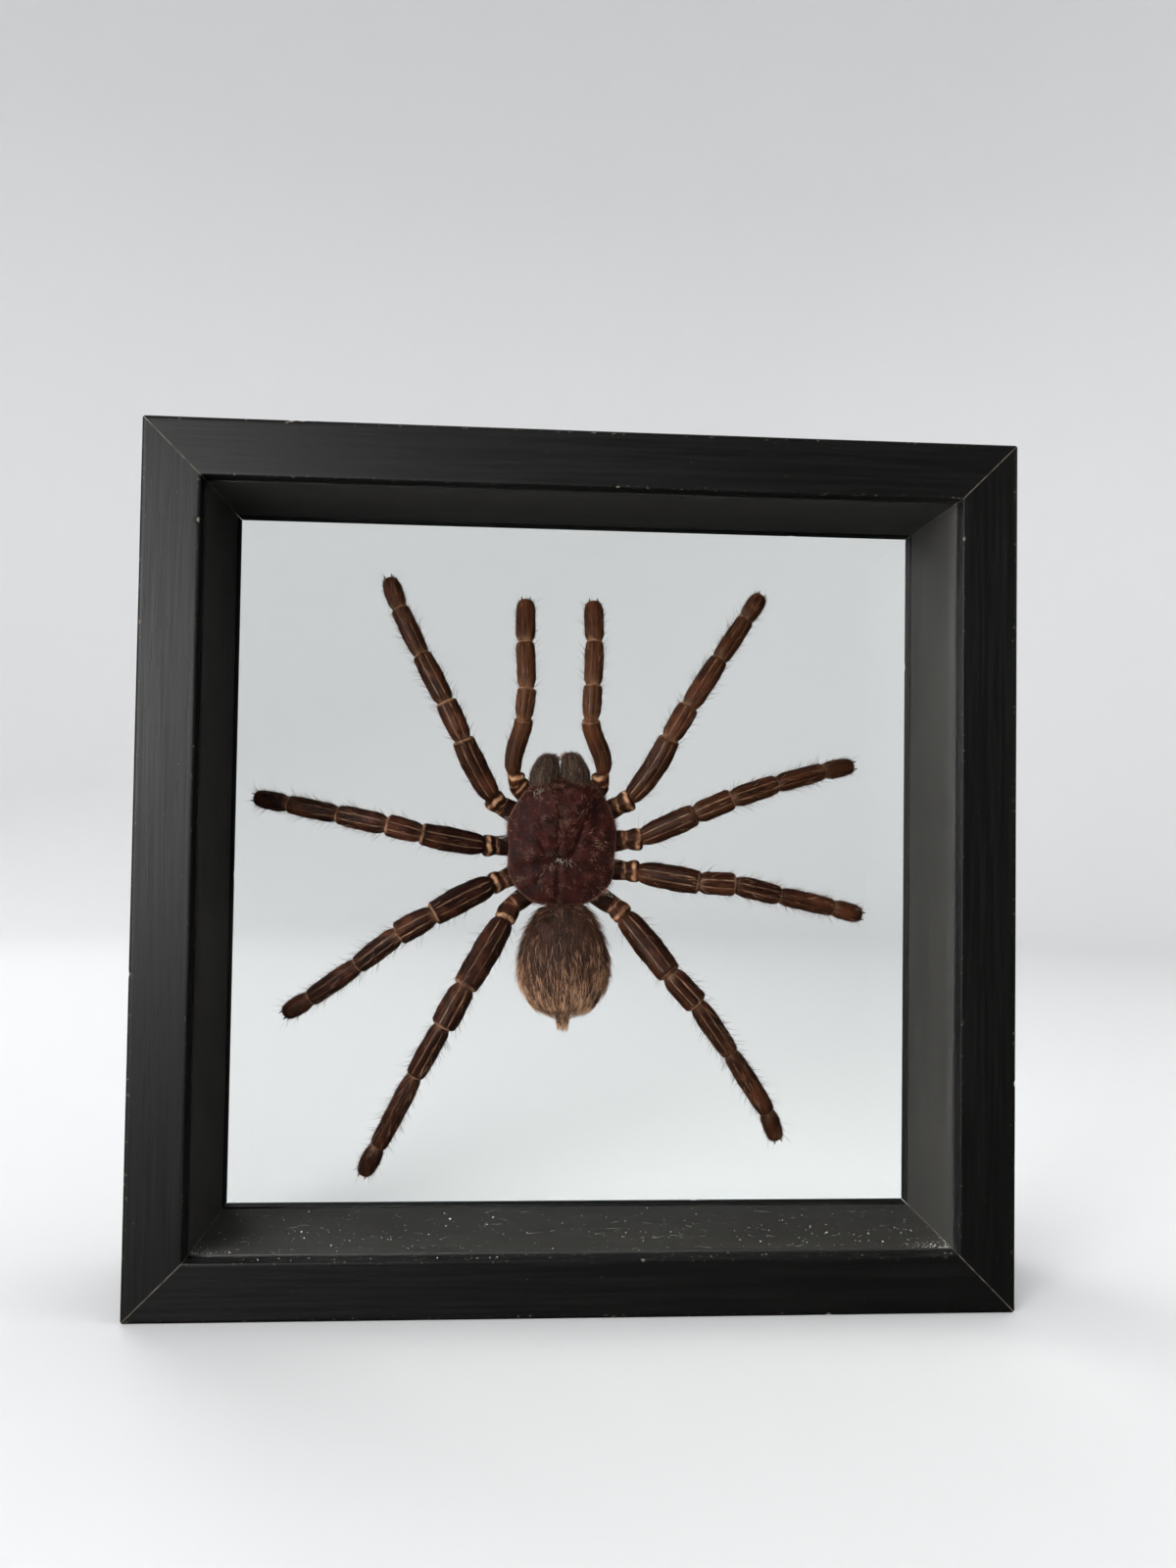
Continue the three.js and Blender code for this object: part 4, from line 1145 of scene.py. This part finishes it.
for hand, name in HANDS:
    shape = finger_shape(hand)
    add_round(f"spinneret_{name}_finger", 28, 32, shape, bag_skin, "abdomen_coat", f"spinneret_{name}")
    share, angle = rng.uniform(0.1, 0.92, FINGER_HAIRS), any_angles(FINGER_HAIRS)
    outwards = np.column_stack((np.cos(angle), np.zeros(FINGER_HAIRS), np.sin(angle)))
    ways = (-0.2 * hand, -1, 0) + 0.3 * outwards + 0.15 * scattered(FINGER_HAIRS)
    add_hair(
        f"spinneret_{name}_hair", ginger_hair, "hair", shape(share, angle) - 0.08 * outwards, ways,
        rng.uniform(0.9, 2.5, FINGER_HAIRS), 0.075, (0, 0, -0.1), rng.uniform(0.55, 1, FINGER_HAIRS),
    )

# ---- The studio ----
# A pale round floor that curves up into a wall, with soft lamps: a big one from the left in
# front, a weaker one on the right, one overhead and one behind for the back of the frame.
FLOOR_RADIUS, CURVE_RADIUS, WALL_HEIGHT = 1.1, 0.6, 2.6
CURVE_STEPS, ROUND_STEPS = 10, 96
FLOOR_GREY = 0.8
SKY, SKY_BLUE = 0.6, (0.93, 0.96, 1, 1)
LAMPS = {  # place, aim, size in metres, power in watts
    "window": ((-0.7, -1.0, 0.31), (0, 0, 0.12), 0.62, 15),
    "fill": ((1.1, -0.3, 0.6), (0, 0, 0.12), 0.8, 2.4),
    "overhead": ((0.1, 0.15, 1.35), (0, 0.05, 0), 1.0, 5),
    "behind": ((-0.7, 0.8, 0.8), (0, 0, 0.12), 0.7, 4),
}
REFLECTED_SHARE = 0.02  # the room is dimmer in the glass than it is to the eye


def reflected(tree):
    """1 for light that has come by way of a reflection, or else 0."""
    return sums("GREATER_THAN", add_node(tree, "LightPath").outputs["Glossy Depth"], 0.5)


sweep, shader, place = new_finish("pale studio floor", Roughness=0.9, Specular_IOR_Level=0.1)
put(shader.inputs, "Base Color", blend(mottle(place, 30), (FLOOR_GREY - 0.01,) * 3, (FLOOR_GREY,) * 3))
dimmed = times(reflected(place.id_data), 1 - REFLECTED_SHARE)
swap_shader(shader, dimmed, add_node(place.id_data, "BsdfDiffuse", {"Color": (0, 0, 0, 1)}))
bm = bmesh.new()
profile = [(0, 0), (FLOOR_RADIUS, 0)]
for step in range(1, CURVE_STEPS + 1):
    turn = step / CURVE_STEPS * math.pi / 2
    profile.append((FLOOR_RADIUS + CURVE_RADIUS * math.sin(turn), CURVE_RADIUS * (1 - math.cos(turn))))
profile.append((FLOOR_RADIUS + CURVE_RADIUS, WALL_HEIGHT))
line = [bm.verts.new((out, 0, up)) for out, up in profile]
edges = [bm.edges.new(pair) for pair in zip(line, line[1:])]
bmesh.ops.spin(
    bm, geom=line + edges, cent=(0, 0, 0), axis=(0, 0, 1), angle=math.tau, steps=ROUND_STEPS, use_merge=True,
)
bmesh.ops.remove_doubles(bm, verts=bm.verts, dist=1e-5)
floor = bpy.data.objects.new("studio_floor", finish_mesh(bm, "studio_floor", Matrix()))
floor.data.materials.append(sweep)
bpy.context.scene.collection.objects.link(floor)

world = bpy.data.worlds.new("studio light")
bpy.context.scene.world = world
world.use_nodes = True
sky = world.node_tree.nodes["Background"]
sky.inputs["Color"].default_value = SKY_BLUE
put(sky.inputs, "Strength", fade(reflected(world.node_tree), 0, 1, SKY, SKY * REFLECTED_SHARE))

for name, (where, aim, size, power) in LAMPS.items():
    lamp = bpy.data.lights.new(name, "AREA")
    lamp.shape, lamp.size, lamp.energy = "DISK", size, power
    holder = bpy.data.objects.new(name, lamp)
    bpy.context.scene.collection.objects.link(holder)
    holder.location = where
    holder.rotation_euler = (Vector(aim) - Vector(where)).to_track_quat("-Z", "Y").to_euler()
    holder.visible_camera = holder.visible_transmission = False

# ---- The camera ----
# A phone's wide lens, a little left of the middle, held almost level. The picture is shown
# without a film curve, so that black wood and dark brown skin stay dark.
CAMERA_PLACE = (-0.0202, -0.35414, 0.13989)
CAMERA_TURN = (91.616, -0.808, -3.662)
SENSOR, LENS, NEAREST = 36, 26.76, 0.01
lens = bpy.data.cameras.new("camera")
lens.sensor_width, lens.lens, lens.clip_start = SENSOR, LENS, NEAREST
camera = bpy.data.objects.new("camera", lens)
bpy.context.scene.collection.objects.link(camera)
camera.location = CAMERA_PLACE
camera.rotation_euler = [math.radians(turn) for turn in CAMERA_TURN]
bpy.context.scene.camera = camera
bpy.context.scene.view_settings.view_transform = "Standard"
